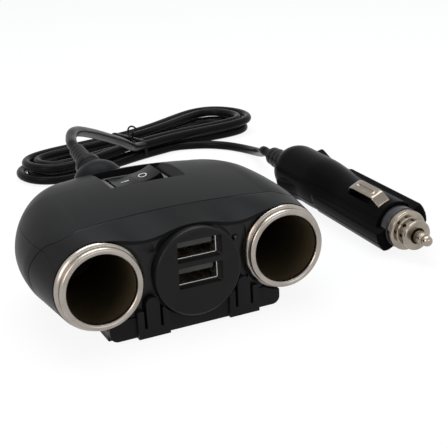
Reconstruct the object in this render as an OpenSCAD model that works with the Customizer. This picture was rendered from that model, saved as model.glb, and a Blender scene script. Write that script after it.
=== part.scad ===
// Twin car power socket splitter: housing with two sockets, two charging ports and a
// rocker switch, on a clip-on bracket, with a bundled lead and its fused plug.
// Units are millimetres. Z = 0 is the adhesive face, the sockets face -Y.

/* [Sockets] */
// Bore of each power socket
socket_bore = 21; // [20.8:0.1:21.6]
// Distance between the two socket axes
socket_spacing = 59.4; // [58.6:0.2:64]
// Height of the socket axes above the adhesive face
axis_height = 19; // [18.6:0.2:22]
// Wall of the socket barrel
barrel_wall = 0.6; // [0.5:0.05:0.8]
// Length of the socket barrel from its lip
barrel_len = 40; // [36:0.5:42]
// Outer diameter of the curled front lip
lip_d = 25.1; // [24.6:0.1:25.6]
// Outer diameter of the band behind the lip
band_d = 26.8; // [26.2:0.1:27.2]
// Length of the curled lip
lip_len = 2; // [1.6:0.1:2.4]
// Length of the band
band_len = 2; // [1.6:0.1:2.4]
// Thickness of the insulating disc behind the barrel
insulator_t = 3; // [2:0.25:4]

/* [Housing] */
// Overall width of the housing
housing_w = 92; // [90:0.5:98]
// Depth of the housing behind the socket lips
housing_depth = 72; // [71:0.5:80]
// Height of the top of the housing above the socket axes
top_rise = 18.2; // [17.8:0.1:20]
// Depth of the underside below the socket axes
belly_drop = 14.6; // [14.4:0.1:14.8]
// Wall of the housing shells
shell_t = 2; // [1.6:0.1:2.2]
// Height of the parting line above the socket axes
seam_rise = 9.5; // [8.5:0.1:10]
// Depth of the brow, from the front edge to the crease
brow_depth = 11.7; // [10:0.1:13]
// Gap along the parting line
seam_gap = 0.1; // [0.05:0.05:0.2]

/* [Front panel] */
// Thickness of the front panel
panel_t = 2.6; // [2.4:0.1:3]
// Depth of the recesses in the panel
recess_depth = 0.8; // [0.5:0.1:1]
// Diameter of the disc that carries the charging ports
disc_d = 27.6; // [27:0.1:28.2]
// Distance the disc stands proud of the panel
disc_proud = 3.6; // [3:0.1:4]
// Drop of the disc centre below the socket axes
disc_drop = 0.86; // [0.5:0.02:1.2]
// Diameter of the pilot lens
pilot_d = 1.8; // [1.4:0.1:2.2]

/* [Charging ports] */
// Width of each port opening
port_w = 12.5; // [12.3:0.1:12.7]
// Height of each port opening
port_h = 5.12; // [5:0.02:5.3]
// Wall of each port shell
port_wall = 0.3; // [0.25:0.05:0.4]
// Depth of each port
port_depth = 14; // [13:0.25:14.5]
// Distance between the two ports
port_pitch = 8.2; // [7.6:0.1:8.6]
// Height of the lower port above the socket axes
port_low = -1.5; // [-2:0.1:-1]
// Thickness of the tongue in each port
tongue_t = 1.8; // [1.6:0.1:2]
// Thickness of the circuit board
board_t = 1.6; // [1.2:0.1:2]

/* [Switch] */
// Length of the switch bezel
bezel_l = 21; // [20:0.1:22]
// Width of the switch bezel
bezel_w = 15; // [14.5:0.1:15.5]
// Thickness of the switch bezel
bezel_t = 1.8; // [1.4:0.1:2]
// Length of the rocker
rocker_l = 15.4; // [14:0.1:16]
// Width of the rocker
rocker_w = 10.6; // [10:0.1:11]
// Angle that the rocker turns through
rocker_throw = 20; // [14:1:22]
// Depth of the switch body under the bezel
switch_body_h = 12; // [10:0.25:12.5]
// Depth of the pocket that holds the switch
pocket_depth = 4; // [3.8:0.1:4.4]

/* [Bracket] */
// Width of the bracket
bracket_w = 56; // [54:0.5:56.4]
// Depth of the bracket
bracket_depth = 40; // [38:0.5:44]
// Thickness of the bracket's base
bracket_base_t = 3.2; // [2.6:0.1:3.2]
// Width of each spring tongue
clip_w = 4.2; // [3.8:0.1:4.6]
// Slot on either side of a spring tongue
clip_slot = 0.9; // [0.7:0.05:1.1]
// Width of each block that carries a spring tongue
clip_block_w = 10; // [9.6:0.1:10.4]
// Thickness of the adhesive pad
pad_t = 1; // [0.8:0.1:1.4]
// Lift that frees the housing from the bracket
lift_travel = 25; // [15:1:30]

/* [Lead] */
// Diameter of the lead
cord_d = 4; // [3.6:0.1:4]
// Number of loops in the bundle
bundle_loops = 4; // [2:1:4]
// Length of the bundle
bundle_l = 132; // [128:1:136]
// Width of the bundle at its left end
bundle_left_w = 72; // [68:1:76]
// Width of the bundle at its right end
bundle_right_w = 84; // [78:1:88]
// Width of the bundle at its waist
bundle_waist_w = 25; // [25:0.5:28]

/* [Plug] */
// Diameter of the plug body where it enters a socket
plug_d = 16.8; // [16.4:0.1:17.2]
// Diameter across the plug's wings
wing_d = 20.9; // [20.2:0.1:20.9]
// Thickness of each wing
wing_t = 7.8; // [7.2:0.1:8.4]
// Diameter of the grip
grip_d = 20.6; // [20:0.1:22]
// Length of the grip
grip_l = 31.7; // [30:0.1:34]
// Length of the plug body in front of the grip
plug_front_l = 46.7; // [45:0.1:49]
// Diameter of the threaded nose ring
nose_ring_d = 14.2; // [13.8:0.1:14.6]
// Length of the nose ring
nose_ring_l = 3; // [2.8:0.1:3.4]
// Diameter of the collar at the front of the nose
nose_tip_d = 10.6; // [10.2:0.1:11]
// Length of the nose in front of the ring
nose_tip_l = 5.2; // [4.6:0.1:5.6]
// Diameter of the centre pin
pin_d = 3.8; // [3.6:0.1:4.2]
// Length of centre pin that stands out of the nose
pin_out = 7.1; // [6.4:0.1:7.4]
// Travel of the centre pin
pin_travel = 3; // [2:0.25:3.5]
// Diameter of the fuse
fuse_d = 6.3; // [6:0.05:6.4]
// Length of the fuse
fuse_l = 30; // [29:0.25:31]
// Width of each side contact
contact_w = 5.6; // [5:0.1:6]
// Thickness of each side contact
contact_t = 0.5; // [0.4:0.05:0.6]

/* [Hidden] */
$fn = 48;

// Overrun of every cut
cut = 0.5;
// Gap between fixed pieces that fit together
seat = 0.05;
// Radial gap of a turning or sliding fit
fit = 0.08;
// Gap between pieces that move past each other
slip = 0.3;

black = [0.06, 0.06, 0.065];
glossy_black = [0.1, 0.1, 0.11];
nickel = [0.78, 0.76, 0.72];
brass = [0.8, 0.68, 0.4];
white = [0.92, 0.92, 0.9];
copper = [0.72, 0.42, 0.2];

// Sockets
half_spacing = socket_spacing / 2;
bore_r = socket_bore / 2;
barrel_r = bore_r + barrel_wall;
lip_r = lip_d / 2;
band_r = band_d / 2;
band_end = lip_len + band_len;
spigot_len = 2;
spigot_step = 0.2;
contact_head_r = 3;
contact_head_t = 1.5;
contact_stem_r = 1.5;
contact_travel = 1.2;
contact_collar_r = 2.4;
contact_collar_t = 1;

// Places along Y, counted back from the plane of the socket lips
bracket_setback = 3;
lip_y = -bracket_depth / 2 - bracket_setback;
panel_behind_lip = 1.2;
panel_setback = lip_len + panel_behind_lip;
panel_y = lip_y + panel_setback;
panel_back_y = panel_y + panel_t;
edge_setback = 0.8;
edge_y = lip_y + lip_len + edge_setback;
crease_y = edge_y + brow_depth;
back_y = lip_y + housing_depth;
barrel_back_y = lip_y + barrel_len;

// Housing surface: sections along Y, each with a crowned top and rounded ends
half_w = housing_w / 2;
end_margin = 0.2;
front_r = band_r + end_margin;
front_half_w = half_spacing + front_r;
belly_z = axis_height - belly_drop;
top_z = axis_height + top_rise;
seam_z = axis_height + seam_rise;
waist_rise = 1.5;
waist_z = axis_height + waist_rise;
crown = 1.4;
crease_top_drop = 2.4;
crease_back = 4.5;
widest_share = 0.3;
highest_share = 0.62;
roundness = 2.4;
end_steps = 10;
top_steps = 16;
belly_steps = 6;
fade_rings = 4;
widest_y = lip_y + widest_share * housing_depth;
highest_y = lip_y + highest_share * housing_depth;
// Shares of the quarter turn at which the rear sections lie
turn_shares = [0, 0.16, 0.3, 0.42, 0.53, 0.63, 0.72, 0.8, 0.87, 0.93, 0.97];
scallop_depth = 2.2;
shoulder_dip = 3.4;
end_sweep = 6.5;
belly_sweep = 2;
front_sweep = 1.2;
rim_wall = 1.2;
least_flat = 1;

function taper(share) = pow(max(0, 1 - pow(share, roundness)), 1 / roundness);
function width_at(y) = y < widest_y
    ? front_half_w + (half_w - front_half_w) * sin(90 * max(0, y - edge_y) / (widest_y - edge_y))
    : half_w * taper((y - widest_y) / (back_y - widest_y));
function top_at(y) = y < highest_y
    ? top_z - crown - crease_top_drop * pow(abs(highest_y - y) / (highest_y - crease_y), 1.7)
    : waist_z + (top_z - crown - waist_z)
        * pow(max(0, 1 - pow((y - highest_y) / (back_y - highest_y), 2.6)), 0.5);
function belly_at(y) = waist_z - (waist_z - belly_z)
    * pow(max(0, 1 - pow(max(0, y - highest_y) / (back_y - highest_y), 3)), 0.5);

// Points of one section: right end upwards, top leftwards, left end downwards, belly rightwards
function section(w, flat, top, belly, crown_h, mid) = concat(
    [for (k = [0:end_steps]) let (a = -90 + 180 * k / end_steps)
        [flat + (w - flat) * cos(a), mid + (a < 0 ? mid - belly : top - mid) * sin(a)]],
    [for (k = [1:top_steps - 1]) let (s = 1 - 2 * k / top_steps)
        [flat * s, top + crown_h * (1 - s * s)]],
    [for (k = [0:end_steps]) let (a = 90 - 180 * k / end_steps)
        [-flat - (w - flat) * cos(a), mid + (a < 0 ? mid - belly : top - mid) * sin(a)]],
    [for (k = [1:belly_steps - 1]) let (s = 2 * k / belly_steps - 1)
        [flat * s, belly]]);
// Height of the scalloped front edge over x
function scallop(x) = axis_height + front_r - scallop_depth
    * pow(0.5 - 0.5 * cos(360 * x / half_spacing), 1.2);
// How far round an end a point lies: 0 on the top, 1 level with the waist, 2 on the belly
function end_turn(k) = k <= end_steps ? 2 - 2 * k / end_steps
    : k < end_steps + top_steps ? 0
    : k <= 2 * end_steps + top_steps ? 2 * (k - end_steps - top_steps) / end_steps : 2;
// The crease dips forward over the shoulder and falls back down the end
function crease_shift(t) = end_sweep * min(1, t * t) + belly_sweep * max(0, t - 1)
    - shoulder_dip * exp(-pow((t - 0.28) / 0.16, 2));
function front_shift(t) = front_sweep * sin(90 * min(1, t));

ring_n = 2 * (end_steps + 1) + top_steps - 1 + belly_steps - 1;
rear_ys = concat([crease_y, crease_y + crease_back],
    [for (s = turn_shares) widest_y + (back_y - widest_y) * pow(sin(90 * s), 2 / roundness)]);

function on_scallop(p, r) = p[1] > axis_height + r - seat && abs(p[0]) < half_spacing;
function front_ring(inset) = let (r = front_r - inset)
    [for (p = section(half_spacing + r, half_spacing, axis_height + r, axis_height - r, 0, axis_height))
        [p[0], on_scallop(p, r) ? scallop(p[0]) - inset : p[1]]];
function rear_ring(y, inset) = let (w = width_at(y) - inset)
    section(w, max(least_flat, min(half_spacing, w - front_r)),
        top_at(y) - inset, belly_at(y) + inset, crown, waist_z);

// Closed solid of the housing, drawn in by inset, its front edge by rim_inset
module hull_form(inset, rim_inset, lead_in) {
    front = front_ring(rim_inset);
    rings = concat(
        [[for (k = [0:ring_n - 1]) [front[k][0], edge_y - lead_in + front_shift(end_turn(k)), front[k][1]]]],
        [for (j = [0:len(rear_ys) - 1])
            let (y = min(rear_ys[j], back_y - inset), ring = rear_ring(y, inset),
                fade = max(0, 1 - j / fade_rings))
            [for (k = [0:ring_n - 1]) [ring[k][0], y + fade * crease_shift(end_turn(k)), ring[k][1]]]]);
    count = len(rings);
    polyhedron(
        points = concat([for (ring = rings) each ring],
            [[0, edge_y - lead_in, axis_height], [0, back_y - inset, waist_z]]),
        faces = concat(
            [for (j = [0:count - 2]) for (k = [0:ring_n - 1]) let (n = (k + 1) % ring_n)
                [j * ring_n + k, j * ring_n + n, (j + 1) * ring_n + n]],
            [for (j = [0:count - 2]) for (k = [0:ring_n - 1]) let (n = (k + 1) % ring_n)
                [j * ring_n + k, (j + 1) * ring_n + n, (j + 1) * ring_n + k]],
            [for (k = [0:ring_n - 1]) [count * ring_n, (k + 1) % ring_n, k]],
            [for (k = [0:ring_n - 1]) [count * ring_n + 1, (count - 1) * ring_n + k,
                (count - 1) * ring_n + (k + 1) % ring_n]]));
}
module housing_solid() hull_form(0, 0, 0);
module housing_cavity() hull_form(shell_t, rim_wall, cut);

// Helpers: a rod along Y, a profile turned about a Y axis, a rod between two points
module rod_y(r, y0, y1, x = 0, z = 0)
    translate([x, y0, z]) rotate([-90, 0, 0]) cylinder(r = r, h = y1 - y0);
module turned_y(x = 0, z = 0)
    translate([x, 0, z]) rotate([-90, 0, 0]) rotate_extrude() children();
module rod(a, b, r) {
    d = b - a;
    translate(a) rotate([0, acos(d[2] / norm(d)), atan2(d[1], d[0])]) cylinder(r = r, h = norm(d));
}
module box(x0, x1, y0, y1, z0, z1) translate([x0, y0, z0]) cube([x1 - x0, y1 - y0, z1 - z0]);

// Disc with the charging ports
disc_r = disc_d / 2;
disc_y = panel_y - disc_proud;
disc_z = axis_height - disc_drop;
disc_boss_r = 10.5;
disc_boss_proud = 1;
disc_groove = 0.8;
disc_edge_r = 0.8;
window_gap = 0.3;
window_bevel = 0.8;
port_zs = [axis_height + port_low, axis_height + port_low + port_pitch];
shell_out_w = port_w + 2 * port_wall;
shell_out_h = port_h + 2 * port_wall;
port_setback = 1.7;
port_y = disc_y + port_setback;
port_back_y = port_y + port_depth;
tongue_inset = 0.55;
tongue_setback = 1.2;
tongue_side_gap = 0.7;
tongue_root = 2;
pin_count = 4;
pin_w = 1;
pin_t = 0.2;
pin_len = 7.5;

// Circuit board
board_y = port_back_y + seat;
board_back_y = board_y + board_t;
board_half_w = 12;
board_drop = 12;
board_rise = 12.5;
choke_r = 4.2;
choke_tube_r = 1.9;
choke_rise = -4;
cap_r = 3.1;
cap_len = 7.5;
cap_x = 4.6;
cap_rise = 6;
rib_x = 9;
rib_w = 2;
rib_t = 1.4;
rib_rise = -9.6;

// Panel recesses and the pilot lens
clip_x = half_spacing / 2;
channel_room = 0.5;
channel_half_w = clip_w / 2 + channel_room;
channel_rise = 10.5;
rim_groove = 0.5;
pilot_x = 14;
pilot_rise = 5.9;

// Parting line: level behind, dropping near the front
seam_drop = 3;
seam_low_setback = 4;
seam_high_setback = 14;
seam_low_y = lip_y + seam_low_setback;
seam_high_y = lip_y + seam_high_setback;

// Switch and the pocket that holds it
pocket_setback = 36;
pocket_y0 = lip_y + pocket_setback;
pocket_side_gap = 2.4;
switch_x = -1.2;
pocket_end_gap = 2.5;
pocket_right_gap = 0.5;
pocket_y1 = pocket_y0 + bezel_w + 2 * pocket_side_gap;
pocket_half_l = bezel_l / 2 + pocket_end_gap;
pocket_right_x = switch_x + bezel_l / 2 + pocket_right_gap;
pocket_wall = 2;
pocket_floor_z = top_z - pocket_depth;
scoop_l = 4.5;
switch_y = (pocket_y0 + pocket_y1) / 2;
bezel_z = pocket_floor_z + bezel_t;
pivot_z = pocket_floor_z;
rocker_rise = 3.2;
rocker_dish = 0.9;
rocker_r = norm([rocker_l / 2, rocker_rise]);
rocker_skirt = 2;
rocker_keel = 4.5;
rocker_keel_half = 3;
pivot_r = 1.2;
pivot_len = 0.8;
opening_half_l = rocker_r + slip;
opening_half_w = rocker_w / 2 + slip;
switch_wall = 0.9;
switch_half_l = opening_half_l + switch_wall;
switch_half_w = opening_half_w + switch_wall;
switch_floor_t = 2;
terminal_w = 4.7;
terminal_t = 0.8;
terminal_len = 7;
terminal_pitch = 6.5;

// Screws that hold the housing together, and the posts that they pass through
screw_r = 1.5;
screw_head_r = 2.7;
screw_head_t = 1.8;
post_r = 4.2;
screw_len = 12;
screw_seat_drop = 7;
front_post_x = 14.2;
front_post_setback = 22.4;
rear_post_x = 19.5;
rear_post_setback = 57.5;
front_post = [front_post_x, lip_y + front_post_setback];
rear_post = [rear_post_x, lip_y + rear_post_setback];
posts = [for (p = [front_post, rear_post]) for (s = [-1, 1]) [s * p[0], p[1]]];
screw_seat_z = seam_z - screw_seat_drop;

// Strain relief: it leaves a boss at the back of the top shell, rising a little
relief_rise = 12;
relief_len = 14;
relief_root_r = 3.3;
relief_tip_r = 2.7;
relief_collar_r = 4.5;
relief_collar_t = 2;
relief_neck_r = 2.8;
boss_r = 5;
boss_root_r = 3.6;
boss_len = 11;
stub_inset = 7;
relief_x = -9;
relief_setback = 70;
relief_height = 15.6;
relief_start = [relief_x, lip_y + relief_setback, axis_height + relief_height];
relief_dir = [0, cos(relief_rise), sin(relief_rise)];
relief_end = relief_start + relief_len * relief_dir;
cord_r = cord_d / 2;
wire_r = 0.8;

// Bracket: base, front wall with two spring tongues, and two tabs at the back
base_z = pad_t / 2;
base_top_z = base_z + bracket_base_t;
half_bracket = bracket_w / 2;
wall_front_y = lip_y + bracket_setback;
wall_t = 1.5;
wall_back_y = wall_front_y + wall_t;
apron_setback = 2.3;
block_setback = 1;
apron_y = lip_y + apron_setback;
block_y = lip_y + block_setback;
block_back_y = panel_y - slip;
wall_drop = 12;
block_drop = 9.75;
tongue_drop = 6;
slot_drop = 15.5;
wall_top_z = axis_height - wall_drop;
block_top_z = axis_height - block_drop;
tongue_top_z = axis_height - tongue_drop;
slot_foot_z = axis_height - slot_drop;
hook_proud = 0.4;
hook_len = 2.4;
corner_r = 2.5;
pad_margin = 2;
rail_w = 3;
rail_x = 20;
rest_gap = 0.1;
tab_x = 20;
tab_y = 16;
tab_w = 6;
tab_t = 2;
tab_drop = 10;
tab_top_z = axis_height - tab_drop;
tab_gap = 0.4;
disc_room = 0.6;
band_room = 0.5;

// Bundled lead: loops of one tube, spiralling in and out again in two layers
tie_t = 0.4;
tie_w = 2.4;
tie_gap = 0.15;
layer_rise = 4.7;
loop_pitch = 5;
bundle_centre = [56, 172];
bundle_turn = 17;
bundle_twist = 1;
bundle_z = tie_t + tie_gap + cord_r;
loop_rings = 24;
climb_share = 0.15;
untwist_share = 0.2;
bundle_half_l = bundle_l / 2;
tie_shift = -6;

function smooth(x, a, b) = let (f = min(1, max(0, (x - a) / (b - a)))) f * f * (3 - 2 * f);
function loop_base(t) = let (half_end = (cos(t) > 0 ? bundle_right_w : bundle_left_w) / 2)
    [bundle_half_l * cos(t),
        (bundle_waist_w / 2 + (half_end - bundle_waist_w / 2) * pow(cos(t), 2)) * sin(t)];
// The place on the bundle after s loops, counted from the front of the waist
function bundle_point(s) = let (
        t = -90 + 360 * s,
        d = loop_base(t + 0.1) - loop_base(t - 0.1),
        outward = [d[1], -d[0]] / norm(d),
        q = loop_base(t) - loop_pitch * min(s, bundle_loops - s) * outward,
        mid = bundle_loops / 2,
        a = bundle_turn + bundle_twist * (1 - 2 * smooth(s, mid, mid + untwist_share)),
        z = bundle_z + layer_rise * (1 - smooth(s, mid - climb_share, mid + climb_share)))
    [bundle_centre[0] + q[0] * cos(a) - q[1] * sin(a), bundle_centre[1] + q[0] * sin(a) + q[1] * cos(a), z];
start_dir = [cos(bundle_turn + bundle_twist), sin(bundle_turn + bundle_twist), 0];
end_dir = [cos(bundle_turn - bundle_twist), sin(bundle_turn - bundle_twist), 0];
bundle_start = bundle_point(0) - cord_d * start_dir;
bundle_end = bundle_point(bundle_loops) + cord_d * end_dir;
bundle_path = concat([bundle_start],
    [for (k = [0:bundle_loops * loop_rings]) bundle_point(k / loop_rings)], [bundle_end]);

// Plug: its own axis runs back along Y from the front face of the nose ring
plug_x = 86;
plug_y = -7.35;
plug_z = 8.6;
ring_place = [plug_x, plug_y, plug_z];
plug_pitch = 1.7;
plug_yaw = -0.67;
plug_roll = 25;
neck_len = 4.3;
neck_r = 7.3;
body_y = nose_ring_l + neck_len;
grip_y = body_y + plug_front_l;
grip_end_y = grip_y + grip_l;
plug_relief_len = 15.6;
plug_relief_end_y = grip_end_y + plug_relief_len;
plug_r = plug_d / 2;
wing_r = wing_d / 2;
grip_r = grip_d / 2;
plug_wall = 1.5;
cavity_r = plug_r - plug_wall;
grip_wall = 1.8;
grip_cavity_r = grip_r - grip_wall;
shell_gap = 0.1;
fuse_r = fuse_d / 2;
pin_r = pin_d / 2;
function along_plug(y) = ring_place + y * [-cos(plug_pitch) * sin(plug_yaw),
    cos(plug_pitch) * cos(plug_yaw), sin(plug_pitch)];
module placed() translate(ring_place) rotate([plug_pitch, 0, plug_yaw]) rotate([0, -plug_roll, 0]) children();

// Route of the lead from the strain relief to the bundle
lead_points = concat([relief_end, relief_end + cord_d * relief_dir],
    [[-7.6, 71, 38.7], [-5, 78, 39], [-1.3, 85, 37.8], [3.1, 92, 35.6], [11.1, 104.5, 30.9], [18.5, 115, 26.4],
        [25.9, 125, 21.8], [33.3, 134, 17.2], [39.6, 142.4, 12.7], [44.8, 150, 9.3]],
    [bundle_start - cord_d * start_dir, bundle_start]);
// Route of the tail from the bundle to the plug
tail_end = along_plug(plug_relief_end_y);
tail_dir = (along_plug(1) - along_plug(0));
tail_points = concat([bundle_end, bundle_end + cord_d * end_dir],
    [[72.6, 162.9, 2.3], [79.4, 161.4, 2.1], [86.2, 157.4, 2.1], [92, 151, 2.1], [95.6, 143.5, 2.2],
        [97, 135, 2.8], [96.2, 126, 4.2], [93.6, 117, 6.4], [90.6, 109, 9]],
    [tail_end + 2 * cord_d * tail_dir, tail_end + cord_d * tail_dir, tail_end]);

// A smooth curve through the points of a route, in steps between each two
route_steps = 2;
function blend4(a, b, c, d, t) = 0.5 * ((2 * b) + (c - a) * t + (2 * a - 5 * b + 4 * c - d) * t * t
    + (3 * b - a - 3 * c + d) * t * t * t);
function smooth_route(p) = let (n = len(p)) concat([p[0]],
    [for (k = [1:n - 3]) for (i = [0:route_steps - 1])
        blend4(p[k - 1], p[k], p[k + 1], p[k + 2], i / route_steps)],
    [p[n - 2], p[n - 1]]);
// Direction of a path at each point; the ends keep their own first and last direction
function unit(v) = v / norm(v);
function path_dir(p, k) = let (n = len(p))
    k == 0 ? unit(p[1] - p[0]) : k == n - 1 ? unit(p[n - 1] - p[n - 2])
        : unit(unit(p[k + 1] - p[k]) + unit(p[k] - p[k - 1]));
// One closed tube swept along a path that never runs along across
module tube(path, r, sides, across = [0, 0, 1]) {
    n = len(path);
    points = [for (k = [0:n - 1]) let (
            d = path_dir(path, k), side = unit(cross(across, d)), up = cross(d, side))
        for (i = [0:sides - 1]) path[k] + r * (cos(360 * i / sides) * side + sin(360 * i / sides) * up)];
    polyhedron(points = points, faces = concat(
        [[for (i = [0:sides - 1]) i]],
        [[for (i = [sides - 1:-1:0]) (n - 1) * sides + i]],
        [for (k = [0:n - 2]) for (i = [0:sides - 1]) let (j = (i + 1) % sides)
            each [[k * sides + i, (k + 1) * sides + i, (k + 1) * sides + j],
                [k * sides + i, (k + 1) * sides + j, k * sides + j]]]));
}
function route_length(p) = sum_steps([for (k = [1:len(p) - 1]) norm(p[k] - p[k - 1])]);
function sum_steps(v, k = 0) = k == len(v) ? 0 : v[k] + sum_steps(v, k + 1);
lead_path = smooth_route(lead_points);
tail_path = smooth_route(tail_points);
least_apart = min([for (i = [0:len(bundle_path) - 1]) for (j = [i + 8:1:len(bundle_path) - 1])
    norm(bundle_path[i] - bundle_path[j])]);
echo("least gap between the loops", least_apart - cord_d);
echo("lengths of lead, bundle and tail", route_length(lead_path), route_length(bundle_path),
    route_length(tail_path));

// Region above the parting line, grown down by drop
module above_seam(drop) translate([-half_w - cut, 0, 0]) rotate([90, 0, 90])
    linear_extrude(2 * (half_w + cut)) polygon([
        [lip_y - disc_proud, seam_z - seam_drop - drop], [seam_low_y, seam_z - seam_drop - drop],
        [seam_high_y, seam_z - drop], [back_y + cut, seam_z - drop],
        [back_y + cut, top_z + boss_r], [lip_y - disc_proud, top_z + boss_r]]);
// Room in the front edge for the socket bands and the disc
module front_room() {
    for (s = [-1, 1]) rod_y(front_r + seat, lip_y - cut, lip_y + band_end + seat, s * half_spacing, axis_height);
    rod_y(disc_r + seat, disc_y - cut, panel_y + seat, 0, disc_z);
}
// Room for the two sockets and the insulators behind them
module socket_room() {
    for (s = [-1, 1]) rod_y(barrel_r + seat, lip_y, insulator_back_y + seat, s * half_spacing, axis_height);
}
module pocket() {
    box(-pocket_half_l, pocket_right_x, pocket_y0, pocket_y1, pocket_floor_z, top_z + cut);
    translate([0, pocket_y1, 0]) rotate([90, 0, 0]) linear_extrude(pocket_y1 - pocket_y0)
        polygon([[pocket_right_x - seat, pocket_floor_z + bezel_t], [pocket_right_x + scoop_l, top_z + cut],
            [pocket_right_x - seat, top_z + cut]]);
}
module housing_top() color(black) difference() {
    union() {
        intersection() {
            difference() {
                housing_solid();
                housing_cavity();
            }
            above_seam(-seam_gap / 2);
        }
        intersection() {
            hull_form(shell_t / 2, shell_t / 2, 0);
            union() {
                box(-pocket_half_l - pocket_wall, pocket_right_x + pocket_wall + scoop_l,
                    pocket_y0 - pocket_wall, pocket_y1 + pocket_wall, pocket_floor_z - pocket_wall, top_z);
                for (p = posts) translate([p[0], p[1], seam_z + seam_gap / 2])
                    cylinder(r = post_r, h = top_z - seam_z);
            }
        }
        intersection() {
            translate(relief_start) rotate([90 + relief_rise, 0, 0])
                cylinder(r1 = boss_r, r2 = boss_root_r, h = boss_len);
            above_seam(-seam_gap / 2);
        }
    }
    pocket();
    front_room();
    socket_room();
    box(switch_x - switch_half_l - seat, switch_x + switch_half_l + seat, switch_y - switch_half_w - seat,
        switch_y + switch_half_w + seat, pocket_floor_z - pocket_wall - cut, pocket_floor_z + cut);
    rod(relief_start - (boss_len + cut) * relief_dir, relief_start + cut * relief_dir, relief_neck_r + seat);
    for (p = posts) translate([p[0], p[1], seam_z - cut])
        cylinder(r = screw_r + seat, h = screw_len - screw_seat_drop + 2 * cut);
}

module housing_bottom() color(black) difference() {
    union() {
        difference() {
            housing_solid();
            housing_cavity();
            above_seam(seam_gap / 2);
        }
        intersection() {
            hull_form(shell_t / 2, shell_t / 2, 0);
            union() {
                for (p = posts) translate([p[0], p[1], belly_z])
                    cylinder(r = post_r, h = seam_z - seam_gap / 2 - belly_z);
                for (s = [-1, 1]) box(s * rib_x - rib_w / 2, s * rib_x + rib_w / 2,
                    board_y - rib_t - seat, board_back_y + rib_t + seat, belly_z, axis_height + rib_rise);
            }
        }
    }
    front_room();
    socket_room();
    box(-half_bracket - 2 * slip, half_bracket + 2 * slip, disc_y, wall_back_y + slip, 0, wall_top_z + slip);
    for (p = posts) {
        translate([p[0], p[1], belly_z - cut]) cylinder(r = screw_head_r + seat, h = screw_seat_z - belly_z + cut);
        translate([p[0], p[1], belly_z]) cylinder(r = screw_r + seat, h = seam_z);
    }
    box(-board_half_w, board_half_w, board_y - seat, board_back_y + seat, axis_height - board_drop - seat,
        axis_height);
    for (s = [-1, 1]) box(s * tab_x - tab_w / 2 - tab_gap, s * tab_x + tab_w / 2 + tab_gap,
        tab_y - tab_gap, tab_y + tab_t + tab_gap, belly_z - cut, belly_z + shell_t + cut);
}

module front_panel() color(black) difference() {
    translate([0, panel_back_y, 0]) rotate([90, 0, 0]) linear_extrude(panel_t)
        polygon(front_ring(rim_wall + seat));
    for (s = [-1, 1]) {
        rod_y(barrel_r + seat, panel_y - cut, panel_back_y + cut, s * half_spacing, axis_height);
        rod_y(band_r + rim_groove, panel_y - cut, lip_y + band_end + seat, s * half_spacing, axis_height);
        translate([s * clip_x, panel_y + recess_depth, axis_height + channel_rise - channel_half_w])
            rotate([90, 0, 0]) {
                cylinder(r = channel_half_w, h = recess_depth + cut);
                translate([-channel_half_w, -axis_height - channel_rise, 0])
                    cube([2 * channel_half_w, axis_height + channel_rise, recess_depth + cut]);
            }
    }
    turned_y(0, disc_z) polygon([[disc_r - seat, panel_y - cut], [disc_r + disc_groove, panel_y - cut],
        [disc_r + disc_groove, panel_y + recess_depth], [disc_r - seat, panel_y + recess_depth]]);
    rod_y(disc_boss_r + seat, panel_y - cut, panel_back_y + cut, 0, disc_z);
    rod_y(pilot_d / 2 + seat, panel_y, panel_back_y + cut, pilot_x, axis_height + pilot_rise);
    for (z = port_zs) box(-shell_out_w / 2 - 2 * seat, shell_out_w / 2 + 2 * seat, panel_y - cut,
        panel_back_y + cut, z - shell_out_h / 2 - 2 * seat, z + shell_out_h / 2 + 2 * seat);
    box(-half_bracket - slip, half_bracket + slip, panel_y - cut, wall_back_y + slip, 0, wall_top_z + slip);
}

module usb_face() color(black) difference() {
    turned_y(0, disc_z) polygon([[0, disc_y], [disc_r - disc_edge_r, disc_y], [disc_r, disc_y + disc_edge_r],
        [disc_r, panel_y], [disc_boss_r, panel_y], [disc_boss_r, panel_back_y + disc_boss_proud],
        [0, panel_back_y + disc_boss_proud]]);
    for (z = port_zs) {
        box(-shell_out_w / 2 - seat, shell_out_w / 2 + seat, disc_y - cut, panel_back_y + disc_boss_proud + cut,
            z - shell_out_h / 2 - seat, z + shell_out_h / 2 + seat);
        box(-shell_out_w / 2 - window_bevel, shell_out_w / 2 + window_bevel, disc_y - cut,
            disc_y + port_setback - window_bevel, z - shell_out_h / 2 - window_gap, z + shell_out_h / 2 + window_gap);
    }
}
module pilot_lens() color([0.25, 0.05, 0.05]) turned_y(pilot_x, axis_height + pilot_rise)
    polygon([[0, panel_y + recess_depth - pilot_d / 2], [pilot_d / 4, panel_y + recess_depth - pilot_d / 3],
        [pilot_d / 2, panel_y + recess_depth], [pilot_d / 2, panel_back_y + pilot_d],
        [0, panel_back_y + pilot_d]]);

// Profile of a socket barrel: rounded lip, dark step, band and plain tube
module socket_barrel(side) color(nickel) {
    roll_r = (lip_r - bore_r) / 2;
    difference() {
        turned_y(side * half_spacing, axis_height) {
            translate([bore_r + roll_r, lip_y + roll_r]) circle(r = roll_r);
            polygon([[bore_r, lip_y + roll_r], [lip_r - rim_groove / 2, lip_y + roll_r],
                [lip_r - rim_groove / 2, lip_y + lip_len], [band_r - rim_groove, lip_y + lip_len],
                [band_r, lip_y + lip_len + rim_groove], [band_r, lip_y + band_end],
                [barrel_r, lip_y + band_end], [barrel_r, barrel_back_y], [bore_r, barrel_back_y]]);
        }
        rod_y(bore_r, lip_y - cut, barrel_back_y + cut, side * half_spacing, axis_height);
        rod_y(bore_r + spigot_step, bore_end_y, barrel_back_y + cut, side * half_spacing, axis_height);
    }
}
module socket_barrel_left() socket_barrel(-1);
module socket_barrel_right() socket_barrel(1);
contact_y = barrel_back_y - spigot_len - contact_travel - contact_head_t - seat;
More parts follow.
